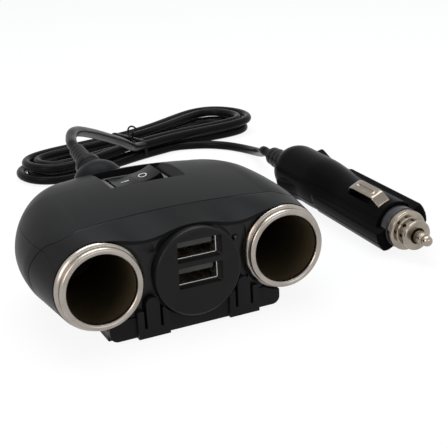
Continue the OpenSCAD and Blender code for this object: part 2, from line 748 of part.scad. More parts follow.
bore_end_y = contact_y - spigot_step;
spigot_r = bore_r + spigot_step - seat;
insulator_back_y = barrel_back_y + insulator_t;
module socket_insulator(side) color([0.16, 0.1, 0.07]) turned_y(side * half_spacing, axis_height)
    polygon([[contact_stem_r + fit, barrel_back_y - spigot_len], [spigot_r, barrel_back_y - spigot_len],
        [spigot_r, barrel_back_y + seat], [barrel_r, barrel_back_y + seat],
        [barrel_r, insulator_back_y], [contact_stem_r + fit, insulator_back_y]]);
module socket_insulator_left() socket_insulator(-1);
module socket_insulator_right() socket_insulator(1);
module socket_contact(side) color(brass) turned_y(side * half_spacing, axis_height)
    polygon([[0, contact_y], [contact_head_r - contact_head_t / 2, contact_y + contact_head_t / 4],
        [contact_head_r, contact_y + contact_head_t], [contact_stem_r, contact_y + contact_head_t],
        [contact_stem_r, insulator_back_y + seat], [contact_collar_r, insulator_back_y + seat],
        [contact_collar_r, insulator_back_y + seat + contact_collar_t],
        [0, insulator_back_y + seat + contact_collar_t]]);
module socket_contact_left() socket_contact(-1);
module socket_contact_right() socket_contact(1);

module usb_shells() color(nickel) for (z = port_zs) difference() {
    box(-shell_out_w / 2, shell_out_w / 2, port_y, port_back_y, z - shell_out_h / 2, z + shell_out_h / 2);
    box(-port_w / 2, port_w / 2, port_y - cut, port_back_y + cut, z - port_h / 2, z + port_h / 2);
}
module usb_tongues() color(white) for (z = port_zs) {
    box(-port_w / 2 + tongue_side_gap, port_w / 2 - tongue_side_gap, port_y + tongue_setback,
        port_back_y - tongue_root, z + port_h / 2 - tongue_inset - tongue_t, z + port_h / 2 - tongue_inset);
    box(-port_w / 2 + seat, port_w / 2 - seat, port_back_y - tongue_root, port_back_y,
        z - port_h / 2 + seat, z + port_h / 2 - seat);
}
pin_pitch = (port_w - 2 * tongue_side_gap) / pin_count;
module usb_pins() color(brass) for (z = port_zs) for (k = [0:pin_count - 1])
    let (x = (k - (pin_count - 1) / 2) * pin_pitch)
    box(x - pin_w / 2, x + pin_w / 2, port_back_y - tongue_root - pin_len, port_back_y - tongue_root,
        z + port_h / 2 - tongue_inset - tongue_t - pin_t, z + port_h / 2 - tongue_inset - tongue_t);
module circuit_board() color([0.05, 0.25, 0.12])
    box(-board_half_w, board_half_w, board_y, board_back_y, axis_height - board_drop, axis_height + board_rise);
module power_choke() color(copper)
    turned_y(0, axis_height + choke_rise) translate([choke_r, board_back_y + choke_tube_r + seat])
        circle(r = choke_tube_r);
module board_capacitors() color([0.15, 0.15, 0.3]) for (s = [-1, 1])
    rod_y(cap_r, board_back_y + seat, board_back_y + seat + cap_len, s * cap_x, axis_height + cap_rise);

module switch_body() color(glossy_black) difference() {
    union() {
        box(switch_x - bezel_l / 2, switch_x + bezel_l / 2, switch_y - bezel_w / 2, switch_y + bezel_w / 2,
            pocket_floor_z + seat, bezel_z);
        box(switch_x - switch_half_l, switch_x + switch_half_l, switch_y - switch_half_w,
            switch_y + switch_half_w, bezel_z - switch_body_h - bezel_t, bezel_z);
    }
    box(switch_x - opening_half_l, switch_x + opening_half_l, switch_y - opening_half_w,
        switch_y + opening_half_w, bezel_z - bezel_t - switch_body_h + switch_floor_t, bezel_z + cut);
    rod_y(pivot_r + fit, switch_y - opening_half_w - pivot_len, switch_y + opening_half_w + pivot_len,
        switch_x, pivot_z);
}
// Rocker at rest with its left end pressed
module switch_rocker() color(glossy_black) translate([switch_x, switch_y, pivot_z])
    rotate([0, -rocker_throw / 2, 0]) {
        rotate([90, 0, 0]) linear_extrude(rocker_w, center = true) intersection() {
            circle(r = rocker_r);
            polygon([[-rocker_r, rocker_rise], [0, rocker_rise - rocker_dish], [rocker_r, rocker_rise],
                [rocker_r, -rocker_skirt], [rocker_keel_half, -rocker_keel], [-rocker_keel_half, -rocker_keel],
                [-rocker_r, -rocker_skirt]]);
        }
        rod_y(pivot_r, -opening_half_w - pivot_len + fit, opening_half_w + pivot_len - fit);
    }
switch_foot_z = bezel_z - bezel_t - switch_body_h;
module switch_terminals() color(nickel) for (k = [-1:1])
    box(switch_x + k * terminal_pitch - terminal_t / 2, switch_x + k * terminal_pitch + terminal_t / 2,
        switch_y - terminal_w / 2, switch_y + terminal_w / 2, switch_foot_z - seat - terminal_len, switch_foot_z - seat);

module housing_screws() color(nickel) for (p = posts) translate([p[0], p[1], screw_seat_z]) {
    translate([0, 0, -screw_head_t - seat]) difference() {
        cylinder(r = screw_head_r, h = screw_head_t);
        for (a = [0, 90]) rotate([0, 0, a]) translate([-screw_head_r / 2, -screw_head_t / 6, -cut])
            cube([screw_head_r, screw_head_t / 3, cut + screw_head_t / 2]);
    }
    translate([0, 0, -seat]) cylinder(r = screw_r, h = screw_len);
}

// Inner end of the lead, and the wires from it and the sockets to the switch and board
stub_start = relief_start - stub_inset * relief_dir;
wire_gap = 0.3;
terminal_foot = switch_foot_z - seat - terminal_len;
wire_across = [1, 0.3, 0.2];
module wire_run(points) tube(points, wire_r, 6, wire_across);
module inner_wires() {
    down_y = pocket_y1 + pocket_wall + 1.4 * wire_r;
    low_z = terminal_foot - 4 * wire_r;
    color(black) rod(stub_start, relief_end, cord_r);
    color([0.6, 0.05, 0.05]) for (s = [-1, 1]) wire_run([
        [s * (half_spacing - barrel_r / 2), insulator_back_y + wire_gap, axis_height],
        [s * (half_spacing - barrel_r / 2), insulator_back_y + post_r, axis_height],
        [switch_x + s * terminal_pitch, switch_y, low_z],
        [switch_x + s * terminal_pitch, switch_y, terminal_foot - wire_gap]]);
    color([0.6, 0.05, 0.05]) wire_run([
        stub_start + [wire_r * 1.2, -wire_gap, 0],
        [stub_start[0] + wire_r * 1.2, down_y, stub_start[2] - cord_r],
        [stub_start[0] + wire_r * 1.2, down_y, axis_height],
        [switch_x, switch_y, low_z],
        [switch_x, switch_y, terminal_foot - wire_gap]]);
    color(black) wire_run([
        [rib_x - rib_w - wire_r, board_back_y + wire_gap, axis_height + rib_rise],
        [rib_x - rib_w - wire_r, board_back_y + board_half_w, axis_height + rib_rise],
        [stub_start[0] - wire_r * 1.2, down_y, axis_height + rib_rise],
        [stub_start[0] - wire_r * 1.2, down_y, stub_start[2] - cord_r],
        stub_start + [-wire_r * 1.2, -wire_gap, 0]]);
}
module strain_relief() color(black) difference() {
    union() {
        rod(relief_start - (boss_len - cord_d / 2) * relief_dir, relief_start + seat * relief_dir, relief_neck_r);
        rod(relief_start + seat * relief_dir, relief_start + relief_collar_t * relief_dir, relief_collar_r);
        translate(relief_start) rotate([relief_rise - 90, 0, 0])
            cylinder(r1 = relief_root_r, r2 = relief_tip_r, h = relief_len);
    }
    rod(relief_start - boss_len * relief_dir, relief_end + cut * relief_dir, cord_r + seat);
}

module mounting_bracket() color(black) difference() {
    union() {
        difference() {
            box(-half_bracket, half_bracket, wall_front_y, bracket_depth / 2, base_z, base_top_z);
            box(-half_bracket + pad_margin, half_bracket - pad_margin, wall_front_y + pad_margin,
                bracket_depth / 2 - pad_margin, 0, pad_t);
        }
        box(-half_bracket, half_bracket, wall_front_y, wall_back_y, base_z, wall_top_z);
        box(-clip_x - clip_block_w / 2, clip_x + clip_block_w / 2, apron_y, wall_back_y, base_z, wall_top_z);
        for (s = [-1, 1]) {
            box(s * clip_x - clip_block_w / 2, s * clip_x + clip_block_w / 2, block_y, block_back_y,
                base_z, block_top_z);
            box(s * clip_x - clip_w / 2, s * clip_x + clip_w / 2, block_y, block_back_y,
                base_z, tongue_top_z - clip_w / 2);
            rod_y(clip_w / 2, block_y, block_back_y, s * clip_x, tongue_top_z - clip_w / 2);
            box(s * clip_x - clip_w / 4, s * clip_x + clip_w / 4, block_back_y - seat, block_back_y + hook_proud,
                block_top_z, block_top_z + hook_len);
            box(s * rail_x - rail_w / 2, s * rail_x + rail_w / 2, wall_back_y, tab_y, base_top_z - seat,
                belly_z - rest_gap);
            box(s * tab_x - tab_w / 2, s * tab_x + tab_w / 2, tab_y, tab_y + tab_t, base_top_z - seat, tab_top_z);
        }
    }
    for (s = [-1, 1]) {
        for (e = [-1, 1]) let (x = s * clip_x + e * (clip_w + clip_slot) / 2)
            box(x - clip_slot / 2, x + clip_slot / 2, block_y - cut, wall_back_y + cut, slot_foot_z, tongue_top_z);
        box(s * clip_x - clip_w / 2 - clip_slot, s * clip_x + clip_w / 2 + clip_slot, block_back_y,
            wall_back_y + cut, slot_foot_z, wall_top_z + cut);
        rod_y(band_r + band_room, block_y - cut, wall_back_y + cut, s * half_spacing, axis_height);
        translate([s * half_bracket, wall_front_y - cut, base_z]) rotate([-90, 0, 0]) difference() {
            translate([-corner_r, -corner_r, 0]) cube([2 * corner_r, 2 * corner_r, wall_t + 2 * cut]);
            translate([-s * corner_r, -corner_r, -cut]) cylinder(r = corner_r, h = wall_t + 4 * cut);
            translate([-s * 2 * corner_r - corner_r, -corner_r - corner_r, -cut])
                cube([2 * corner_r, 4 * corner_r, wall_t + 4 * cut]);
        }
    }
    rod_y(disc_r + disc_room, block_y - cut, wall_back_y + cut, 0, disc_z);
}
module adhesive_pad() color([0.75, 0.75, 0.72])
    box(-half_bracket + pad_margin + seat, half_bracket - pad_margin - seat, wall_front_y + pad_margin + seat,
        bracket_depth / 2 - pad_margin - seat, 0, pad_t - seat);

module cord_lead() color(glossy_black) tube(lead_path, cord_r, 8);
module cord_bundle() color(glossy_black) tube(bundle_path, cord_r, 6);
module cord_tail() color(glossy_black) tube(tail_path, cord_r, 8);
tie_top_z = bundle_z + layer_rise + cord_r + tie_gap;
tie_front = -bundle_waist_w / 2 - cord_r - 4 * tie_gap;
tie_back = bundle_waist_w / 2 - loop_pitch / 2 + cord_r + 5 * tie_gap;
tie_knot_r = 2.2;
module bundle_tie() color(black)
    translate([bundle_centre[0], bundle_centre[1], 0]) rotate([0, 0, bundle_turn]) translate([tie_shift, 0, 0])
    rotate([90, 0, 90]) {
        linear_extrude(tie_w, center = true) difference() {
            translate([tie_front - tie_t, 0])
                square([tie_back - tie_front + 2 * tie_t, tie_top_z + tie_t]);
            translate([tie_front, tie_t]) square([tie_back - tie_front, tie_top_z - tie_t]);
        }
        translate([(tie_front + tie_back) / 2, tie_top_z + tie_t + tie_knot_r - seat, 0])
            rotate([0, 90, 0]) rotate_extrude() translate([tie_knot_r, 0]) circle(r = tie_t * 2);
    }

// Plug pieces, in the plug's own frame
step_t = 3.6;
step_drop = 0.45;
plug_root_r = 4.6;
plug_tip_r = 3.3;
flange_r = 6;
flange_t = 2;
rear_wall = 2.5;
relief_gap = 0.6;
steps = 4;
module plug_relief() color(black) placed() difference() {
    turned_y() polygon(concat(
        [[0, grip_end_y - rear_wall - flange_t], [flange_r, grip_end_y - rear_wall - flange_t],
            [flange_r, grip_end_y - rear_wall - seat], [plug_tip_r, grip_end_y - rear_wall - seat],
            [plug_tip_r, grip_end_y + seat]],
        [for (k = [0:steps - 1]) let (y = grip_end_y + seat + k * step_t, r = plug_root_r - k * step_drop)
            each [[r, y], [r, y + step_t - relief_gap], [r - step_drop * 1.5, y + step_t - relief_gap],
                [r - step_drop * 1.5, y + step_t]]],
        [[plug_tip_r - step_drop, plug_relief_end_y], [0, plug_relief_end_y]]));
    rod_y(cord_r + seat, grip_end_y - rear_wall - flange_t - cut, plug_relief_end_y + cut);
}

wing_front_gap = 0.4;
wing_back_inset = 4;
wing_front = nose_ring_l + wing_front_gap;
wing_back = grip_y - wing_back_inset;
wing_corner = 2;
wing_nose = 0.9;
grip_ramp = 18;
grip_rise = 3;
grip_round = 6;
// Teeth on both sides of the grip: how far they stand out, where they are and how long
tooth_h = 2.2;
tooth_back = 10.5;
tooth_l = 13;
tooth_top = 2;
tooth_y1 = grip_end_y - tooth_back;
tooth_y0 = tooth_y1 - tooth_l;
window_inset = 2.6;
window_l = 20.6;
window_y0 = body_y + window_inset;
window_y1 = window_y0 + window_l;
window_w = contact_w + 2 * slip;
screw_x = -6.2;
screw_inset = 3;
screw_y = grip_y + screw_inset;
plug_screw_r = 1.1;
plug_screw_head_r = 2;
plug_screw_head_t = 1.4;
boss_wall = 1;
plug_screw_seat = 2.5;
front_rib_inset = 35.1;
rear_rib_inset = 45.1;
rib_ys = [body_y + front_rib_inset, body_y + rear_rib_inset];
rib_thick = 2;
module plug_outer() {
    turned_y() polygon(concat(
        [[0, body_y], [plug_r - wing_corner / 4, body_y], [plug_r, body_y + wing_corner / 4], [plug_r, grip_y - grip_ramp],
            [grip_r, grip_y + grip_rise]],
        [for (a = [0:15:90]) [grip_r - grip_round + grip_round * cos(a),
            grip_end_y - grip_round + grip_round * sin(a)]],
        [[0, grip_end_y]]));
    intersection() {
        turned_y() polygon([[0, wing_front], [wing_r - wing_nose, wing_front], [wing_r, wing_front + wing_nose],
            [wing_r, wing_back], [plug_r, wing_back + wing_corner], [0, wing_back + wing_corner]]);
        box(-wing_r, wing_r, wing_front, wing_back + wing_corner, -wing_t / 2, wing_t / 2);
    }
    intersection() {
        turned_y() polygon([[0, tooth_y0], [grip_r, tooth_y0], [grip_r + tooth_h, tooth_y1 - tooth_top],
            [grip_r + tooth_h, tooth_y1 - tooth_top / 4], [grip_r - tooth_h, tooth_y1 + tooth_top / 4],
            [0, tooth_y1 + tooth_top / 4]]);
        box(-grip_r - tooth_h, grip_r + tooth_h, tooth_y0, tooth_y1 + tooth_top / 4, -wing_t / 2, wing_t / 2);
    }
}
module plug_cavity() {
    turned_y() polygon([[0, body_y - cut], [cavity_r, body_y - cut], [cavity_r, grip_y],
        [grip_cavity_r, grip_y + grip_ramp / 2], [grip_cavity_r, grip_end_y - rear_wall - 2 * grip_wall],
        [flange_r + seat, grip_end_y - rear_wall], [0, grip_end_y - rear_wall]]);
    rod_y(plug_tip_r + seat, grip_end_y - rear_wall - cut, grip_end_y + cut);
    rod_y(neck_r + seat, wing_front - cut, body_y);
}
// One half of the plug's body; side 1 is the upper half
module plug_shell(side) placed() difference() {
    union() {
        difference() {
            plug_outer();
            plug_cavity();
        }
        for (y = rib_ys) difference() {
            rod_y(cavity_r + plug_wall / 2, y, y + rib_thick);
            rod_y(cup_r + seat, y - cut, y + rib_thick + cut);
        }
        intersection() {
            plug_outer();
            translate([screw_x, screw_y, -grip_r])
                cylinder(r = plug_screw_head_r + boss_wall, h = 2 * grip_r);
        }
    }
    box(-grip_r - 2 * tooth_h, grip_r + 2 * tooth_h, -cut, grip_end_y + cut, side > 0 ? -grip_r - cut : -shell_gap / 2,
        side > 0 ? shell_gap / 2 : grip_r + cut);
    box(-window_w / 2, window_w / 2, window_y0 - slip, window_y1 + slip,
        side > 0 ? 0 : -wing_r - cut, side > 0 ? wing_r + cut : 0);
    rotate([0, 180, 0]) translate([-screw_x, screw_y, 0]) {
        translate([0, 0, -plug_screw_seat * 2]) cylinder(r = plug_screw_r + seat, h = grip_r * 2);
        translate([0, 0, plug_screw_seat]) cylinder(r = plug_screw_head_r + seat, h = grip_r);
    }
}
module plug_shell_upper() color(black) plug_shell(1);
module plug_shell_lower() color(black) plug_shell(-1);
module plug_screw() color(nickel) placed() rotate([0, 180, 0])
    translate([-screw_x, screw_y, plug_screw_seat + seat]) {
    difference() {
        cylinder(r = plug_screw_head_r, h = plug_screw_head_t);
        for (a = [0, 90]) rotate([0, 0, a]) translate([-plug_screw_head_r / 2, -plug_screw_head_t / 6,
            plug_screw_head_t / 2]) cube([plug_screw_head_r, plug_screw_head_t / 3, plug_screw_head_t]);
    }
    translate([0, 0, -plug_screw_seat * 2.5]) cylinder(r = plug_screw_r, h = plug_screw_seat * 2.5 + seat);
}

// Side contacts: a bridge of spring strip that bows out of the window
contact_out = 11.5;
contact_foot = 6.3;
contact_press = 2.7;
function strip(y) = let (s = (y - window_y0) / (window_y1 - window_y0))
    contact_foot + (contact_out - contact_t / 2 - contact_foot) * pow(sin(180 * pow(s, 0.9)), 0.3);
strip_shares = [0, 0.02, 0.05, 0.1, 0.16, 0.24, 0.34, 0.5, 0.66, 0.76, 0.84, 0.9, 0.95, 0.98, 1];
strip_ys = [for (s = strip_shares) window_y0 + s * (window_y1 - window_y0)];
module contact_strip() rotate([90, 0, 90]) linear_extrude(contact_w, center = true) polygon(concat(
    [for (y = strip_ys) [y, strip(y) + contact_t / 2]],
    [for (k = [len(strip_ys) - 1:-1:0]) [strip_ys[k], strip(strip_ys[k]) - contact_t / 2]]));
module plug_contact_upper() color(nickel) placed() contact_strip();
module plug_contact_lower() color(nickel) placed() rotate([0, 180, 0])
    translate([0, 0, -contact_press]) contact_strip();

neck_room = 0.35;
neck_bore_r = fuse_r + neck_room;
thread_depth = 0.15;
thread_r = nose_tip_d / 2 - thread_depth;
ring_web = 0.8;
thread_y = ring_web + slip;
neck_root_len = 2.2;
module plug_neck() color(glossy_black) placed() difference() {
    turned_y() polygon([[0, thread_y], [thread_r, thread_y],
        [thread_r, nose_ring_l + seat], [neck_r, nose_ring_l + seat], [neck_r, body_y - seat],
        [cavity_r - seat, body_y - seat], [cavity_r - seat, body_y + neck_root_len], [0, body_y + neck_root_len]]);
    rod_y(neck_bore_r, -cut, body_y + neck_root_len + cut);
}
cap_wall = 1.2;
cap_hole_r = 2.8;
bush_r = nose_tip_d / 2 - cap_wall;
ring_r = nose_ring_d / 2;
ring_edge = 0.5;
collar_len = 1.7;
groove_depth = 0.6;
tip_r = nose_tip_d / 2;
module nose_cap() color(nickel) placed() turned_y() polygon([
    [cap_hole_r, -nose_tip_l], [tip_r - ring_edge, -nose_tip_l], [tip_r, -nose_tip_l + ring_edge],
    [tip_r, -nose_tip_l + collar_len], [tip_r - groove_depth, -nose_tip_l + collar_len],
    [tip_r - groove_depth, 0], [ring_r - ring_edge, 0], [ring_r, ring_edge],
    [ring_r, nose_ring_l - ring_edge], [ring_r - ring_edge, nose_ring_l], [thread_r + fit, nose_ring_l],
    [thread_r + fit, ring_web], [bush_r, ring_web], [bush_r, -nose_tip_l + cap_wall],
    [cap_hole_r, -nose_tip_l + cap_wall]]);
bush_inset = 0.2;
bush_back_y = -bush_inset;
module nose_bush() color(glossy_black) placed() difference() {
    turned_y() polygon([[0, -nose_tip_l + cap_wall / 2], [cap_hole_r - fit, -nose_tip_l + cap_wall / 2],
        [cap_hole_r - fit, -nose_tip_l + cap_wall + seat], [bush_r - fit, -nose_tip_l + cap_wall + seat],
        [bush_r - fit, bush_back_y], [0, bush_back_y]]);
    rod_y(pin_r + fit, -nose_tip_l - cut, cut);
}
pin_flange_r = 3;
pin_flange_t = 1.2;
pin_back_y = bush_back_y + seat + pin_flange_t;
module centre_pin() color(nickel) placed() turned_y() polygon(concat(
    [[0, -nose_tip_l - pin_out]],
    [for (a = [30:20:90]) [pin_r * sin(a), -nose_tip_l - pin_out + pin_r * (1 - cos(a)) * 0.8]],
    [[pin_r, bush_back_y + seat], [pin_flange_r, bush_back_y + seat], [pin_flange_r, pin_back_y],
        [0, pin_back_y]]));
fuse_y = pin_back_y + seat;
fuse_end_y = fuse_y + fuse_l;
fuse_cap_l = 6;
fuse_cap_t = 0.3;
module fuse_tube() color([0.8, 0.85, 0.85]) placed() difference() {
    rod_y(fuse_r - fuse_cap_t - seat, fuse_y + fuse_cap_t + seat, fuse_end_y - fuse_cap_t - seat);
    rod_y(fuse_r / 2, fuse_y + 2 * fuse_cap_t, fuse_end_y - 2 * fuse_cap_t);
}
module fuse_caps() color(nickel) placed() for (y = [fuse_y, fuse_end_y - fuse_cap_l]) difference() {
    rod_y(fuse_r, y, y + fuse_cap_l);
    rod_y(fuse_r - fuse_cap_t, y == fuse_y ? y + fuse_cap_t : y - cut,
        y == fuse_y ? y + fuse_cap_l + cut : y + fuse_cap_l - fuse_cap_t);
}
spring_wire = 0.7;
spring_r = 2.4;
spring_turns = 5;
spring_steps = 10;
spring_len = 8;
cup_r = 4.2;
cup_wall = 0.5;
cup_inset = 33.1;
cup_y = body_y + cup_inset;
cup_back_y = fuse_end_y + spring_len + pin_travel + slip;
cup_floor = 1.5;
cup_tail = 4;
// Coil spring along Y, its first and last turns closed up
function coil(s) = let (a = 360 * s * spring_turns, rise = smooth(s, 0.05, 0.95))
    [spring_r * cos(a), fuse_end_y + spring_wire / 2 + seat + rise * (spring_len - spring_wire), spring_r * sin(a)];
module fuse_spring() color(nickel) placed() {
    count = spring_turns * spring_steps;
    sides = 6;
    path = [for (k = [0:count]) coil(k / count)];
    points = [for (k = [0:count]) let (d = path_dir(path, k), out = unit([path[k][0], 0, path[k][2]]),
            side = unit(cross(d, out)), up = cross(side, d))
        for (i = [0:sides - 1]) path[k] + spring_wire / 2 * (cos(360 * i / sides) * up + sin(360 * i / sides) * side)];
    polyhedron(points = points, faces = concat(
        [[for (i = [0:sides - 1]) i]],
        [[for (i = [sides - 1:-1:0]) count * sides + i]],
        [for (k = [0:count - 1]) for (i = [0:sides - 1]) let (j = (i + 1) % sides)
            each [[k * sides + i, (k + 1) * sides + i, (k + 1) * sides + j],
                [k * sides + i, (k + 1) * sides + j, k * sides + j]]]));
}
module rear_terminal() color(brass) placed() difference() {
    union() {
        rod_y(cup_r, cup_y, cup_back_y + cup_floor);
        rod_y(cord_r / 2, cup_back_y, cup_back_y + cup_floor + cup_tail);
    }
    rod_y(cup_r - cup_wall, cup_y - cut, cup_back_y);
}
wire_start_y = cup_back_y + cup_floor + cup_tail + seat;
stub_len = 6;
module plug_wires() placed() {
    color(black) rod_y(cord_r, grip_end_y - stub_len, plug_relief_end_y);
    color([0.6, 0.05, 0.05]) rod_y(wire_r, wire_start_y, grip_end_y - stub_len);
}

housing_top();
housing_bottom();
front_panel();
usb_face();
pilot_lens();
socket_barrel_left();
socket_barrel_right();
socket_insulator_left();
socket_insulator_right();
socket_contact_left();
socket_contact_right();
usb_shells();
usb_tongues();
usb_pins();
circuit_board();
power_choke();
board_capacitors();
switch_body();
switch_rocker();
switch_terminals();
housing_screws();
inner_wires();
strain_relief();
mounting_bracket();
adhesive_pad();
cord_lead();
cord_bundle();
bundle_tie();
cord_tail();
plug_relief();
plug_shell_upper();
plug_shell_lower();
plug_screw();
plug_wires();
plug_contact_upper();
plug_contact_lower();
plug_neck();
nose_cap();
nose_bush();
centre_pin();
fuse_tube();
fuse_caps();
fuse_spring();
rear_terminal();
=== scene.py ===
"""Looks of a twin car power socket splitter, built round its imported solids.

Its pieces are surfaces worked out with numpy in millimetres, in the frame of the solids, and
stored in metres. Run it as a script in Blender.
"""

from functools import cache

import bmesh
import bpy
import numpy as np
from bpy.props import FloatProperty, FloatVectorProperty, PointerProperty
from mathutils import Matrix


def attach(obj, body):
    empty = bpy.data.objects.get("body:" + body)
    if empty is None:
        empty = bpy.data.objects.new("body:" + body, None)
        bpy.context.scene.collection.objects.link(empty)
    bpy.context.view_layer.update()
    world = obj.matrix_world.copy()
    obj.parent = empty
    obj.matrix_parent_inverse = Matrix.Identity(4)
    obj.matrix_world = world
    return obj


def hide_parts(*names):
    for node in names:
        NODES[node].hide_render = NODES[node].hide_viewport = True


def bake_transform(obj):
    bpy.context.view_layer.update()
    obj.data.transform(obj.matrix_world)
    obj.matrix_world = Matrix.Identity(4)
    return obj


bl_info = {
    "name": "Power Socket Splitter",
    "version": (1, 0, 0),
    "blender": (4, 5, 0),
    "location": "View3D > Sidebar > Splitter",
    "description": "Dresses the solids of a twin car power socket splitter",
    "category": "Object",
}

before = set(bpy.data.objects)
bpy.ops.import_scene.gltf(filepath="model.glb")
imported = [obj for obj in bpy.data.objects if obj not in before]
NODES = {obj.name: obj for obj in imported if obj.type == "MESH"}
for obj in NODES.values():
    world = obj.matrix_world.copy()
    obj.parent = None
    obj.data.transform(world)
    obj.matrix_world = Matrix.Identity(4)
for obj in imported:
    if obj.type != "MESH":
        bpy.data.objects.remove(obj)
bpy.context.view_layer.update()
MM = 0.001
TURN = 2 * np.pi

# Sizes of the solids, in millimetres and degrees
LIP_Y = -23.0
AXIS_Z = 19.0
HALF_SPACING = 29.7
BORE_R = 10.5
BARREL_R = 11.1
LIP_R = 12.55
BAND_R = 13.4
LIP_LEN = 2.0
BAND_END = 4.0
BARREL_BACK_Y = 17.0
BORE_END_Y = 12.05
PANEL_Y = -19.8
PANEL_BACK_Y = -17.2
EDGE_Y = -20.2
CREASE_Y = -8.5
BACK_Y = 49.0
HALF_W = 46.0
FRONT_R = 13.6
BELLY_Z = 4.4
TOP_Z = 37.2
SEAM_Z = 28.5
WAIST_Z = 20.5
CROWN = 1.4
WIDEST_Y = -1.4
HIGHEST_Y = 21.64
HOOD_SINK = 2.4
ROUNDNESS = 2.4
DISC_R = 13.8
DISC_Y = -23.4
DISC_Z = 18.14
PORT_ZS = (17.5, 25.7)
PORT_Y = -21.7
PORT_BACK_Y = -7.7
LENS_PLACE = (14.0, AXIS_Z + 5.9)
LENS_R = 0.9
SWITCH = np.array([-1.2, 22.9, 33.2])
BEZEL_Z = 35.0
SWITCH_FLOOR_Z = 23.2
SWITCH_BACK_Z = 21.25
RELIEF_START = np.array([-9.0, 47.0, 34.6])
RELIEF_TILT = 12
RELIEF_DIR = np.array([0.0, np.cos(np.radians(RELIEF_TILT)), np.sin(np.radians(RELIEF_TILT))])
RELIEF_LEN = 14.0
CORD_R = 2.0
BUNDLE_CENTRE = np.array([56.0, 172.0])
BUNDLE_TURN = 17.0
TIE_AT = -8.0
RING_PLACE = np.array([86.0, -7.35, 8.6])
EAR_Y = 3.4
BODY_Y = 7.3
GRIP_END_Y = 85.7
RELIEF_END_Y = 101.3


def turn_about(axis, degrees):
    """The 3 by 3 matrix that turns by degrees about X, Y or Z."""
    return np.array(Matrix.Rotation(np.radians(degrees), 3, axis))


PLUG_TURN = turn_about("Z", -0.67) @ turn_about("X", 1.7) @ turn_about("Y", -25)


def in_plug(points):
    """Takes points from the plug's own frame, whose Y axis is the plug's, to the part's."""
    return points @ PLUG_TURN.T + RING_PLACE


# Curves and outlines


def unit(vectors):
    """The vectors at length 1."""
    return vectors / np.maximum(np.linalg.norm(vectors, axis=-1, keepdims=True), 1e-9)


def smooth_step(x, low, high):
    """0 below low, 1 above high, and the cubic 3f^2 - 2f^3 between."""
    f = np.clip((x - low) / (high - low), 0, 1)
    return f * f * (3 - 2 * f)


def rounded(corners, radius, steps=5, closed=True):
    """Replaces each corner by a parabola (1-s)^2 A + 2s(1-s) P + s^2 B between the points A and B
    that lie a radius from the corner P on its two sides, or nearer where a side is short."""
    p = np.asarray(corners, float)
    before, after = np.roll(p, 1, 0), np.roll(p, -1, 0)
    back, ahead = before - p, after - p
    back_len = np.linalg.norm(back, axis=1, keepdims=True)
    ahead_len = np.linalg.norm(ahead, axis=1, keepdims=True)
    reach = np.minimum(np.broadcast_to(np.asarray(radius, float), (len(p),))[:, None],
                       0.48 * np.minimum(back_len, ahead_len))
    a = p + back / back_len * reach
    b = p + ahead / ahead_len * reach
    s = np.linspace(0, 1, steps)[None, :, None]
    out = (1 - s) ** 2 * a[:, None] + 2 * s * (1 - s) * p[:, None] + s ** 2 * b[:, None]
    if closed:
        return out.reshape(-1, p.shape[1])
    return np.concatenate([p[:1], out[1:-1].reshape(-1, p.shape[1]), p[-1:]])


def rounded_rectangle(half_x, half_y, radius):
    """Four quarter circles of the radius about the corners' centres, as one loop."""
    angle = np.linspace(0, np.pi / 2, 6)[None, :] + np.arange(4)[:, None] * np.pi / 2
    sign_x = np.array([1, -1, -1, 1])[:, None]
    sign_y = np.array([1, 1, -1, -1])[:, None]
    x = sign_x * (half_x - radius) + radius * np.cos(angle)
    y = sign_y * (half_y - radius) + radius * np.sin(angle)
    return np.stack([x, y], -1).reshape(-1, 2)


def through(points, steps):
    """A smooth curve through the points: between each two it is the cubic whose slope at a point
    is half the step from the point before to the point after. The first and last spans are straight."""
    p = np.asarray(points, float)
    t = (np.arange(steps) / steps)[None, :, None]
    a, b, c, d = (q[:, None] for q in (p[:-3], p[1:-2], p[2:-1], p[3:]))
    mid = 0.5 * (2 * b + (c - a) * t + (2 * a - 5 * b + 4 * c - d) * t ** 2
                 + (3 * b - a - 3 * c + d) * t ** 3)
    first = p[0] + (p[1] - p[0]) * np.linspace(0, 1, 4)[:-1, None]
    last = p[-2] + (p[-1] - p[-2]) * np.linspace(0, 1, 4)[:, None]
    return np.concatenate([first, mid.reshape(-1, 3), last])


def path_frames(path, across=(0.0, 0.0, 1.0)):
    """Two unit vectors square to the path at each of its points, one of them square to across too."""
    d = unit(np.gradient(path, axis=0))
    side = unit(np.cross(np.asarray(across, float), d))
    return side, np.cross(d, side)


def circle(radius, count):
    """Points at equal angles: radius (cos a, sin a)."""
    a = np.linspace(0, TURN, count, endpoint=False)
    return radius * np.stack([np.cos(a), np.sin(a)], -1)


def drawn_in(outline, distance):
    """A closed outline moved inwards by the distance, along the mean of its two sides' normals."""
    o = np.asarray(outline, float)
    edge = np.roll(o, -1, 0) - np.roll(o, 1, 0)
    normal = unit(np.stack([edge[:, 1], -edge[:, 0]], -1))
    area = 0.5 * np.sum(o[:, 0] * np.roll(o[:, 1], -1) - np.roll(o[:, 0], -1) * o[:, 1])
    return o - np.sign(area) * distance * normal


# Grids of points


def layers(axis, *rows):
    """A grid of outlines, each given with its place along the axis that its points lack."""
    return np.stack([np.insert(np.asarray(outline, float), axis, place, axis=1)
                     for outline, place in rows])


def box(low, high):
    """A box between two corners, as an outline in Y and Z at its two ends."""
    (x0, y0, z0), (x1, y1, z1) = low, high
    outline = [[y0, z0], [y1, z0], [y1, z1], [y0, z1]]
    return layers(0, (outline, x0), (outline, x1))


def turned(profile, count=96, x=0.0, z=0.0):
    """A profile of (radius, y) carried round the Y axis: (x + r cos a, y, z + r sin a)."""
    a = np.linspace(0, TURN, count, endpoint=False)[None, :]
    r, y = np.asarray(profile, float).T[:, :, None]
    return np.stack([x + r * np.cos(a), y + 0 * a, z + r * np.sin(a)], -1)


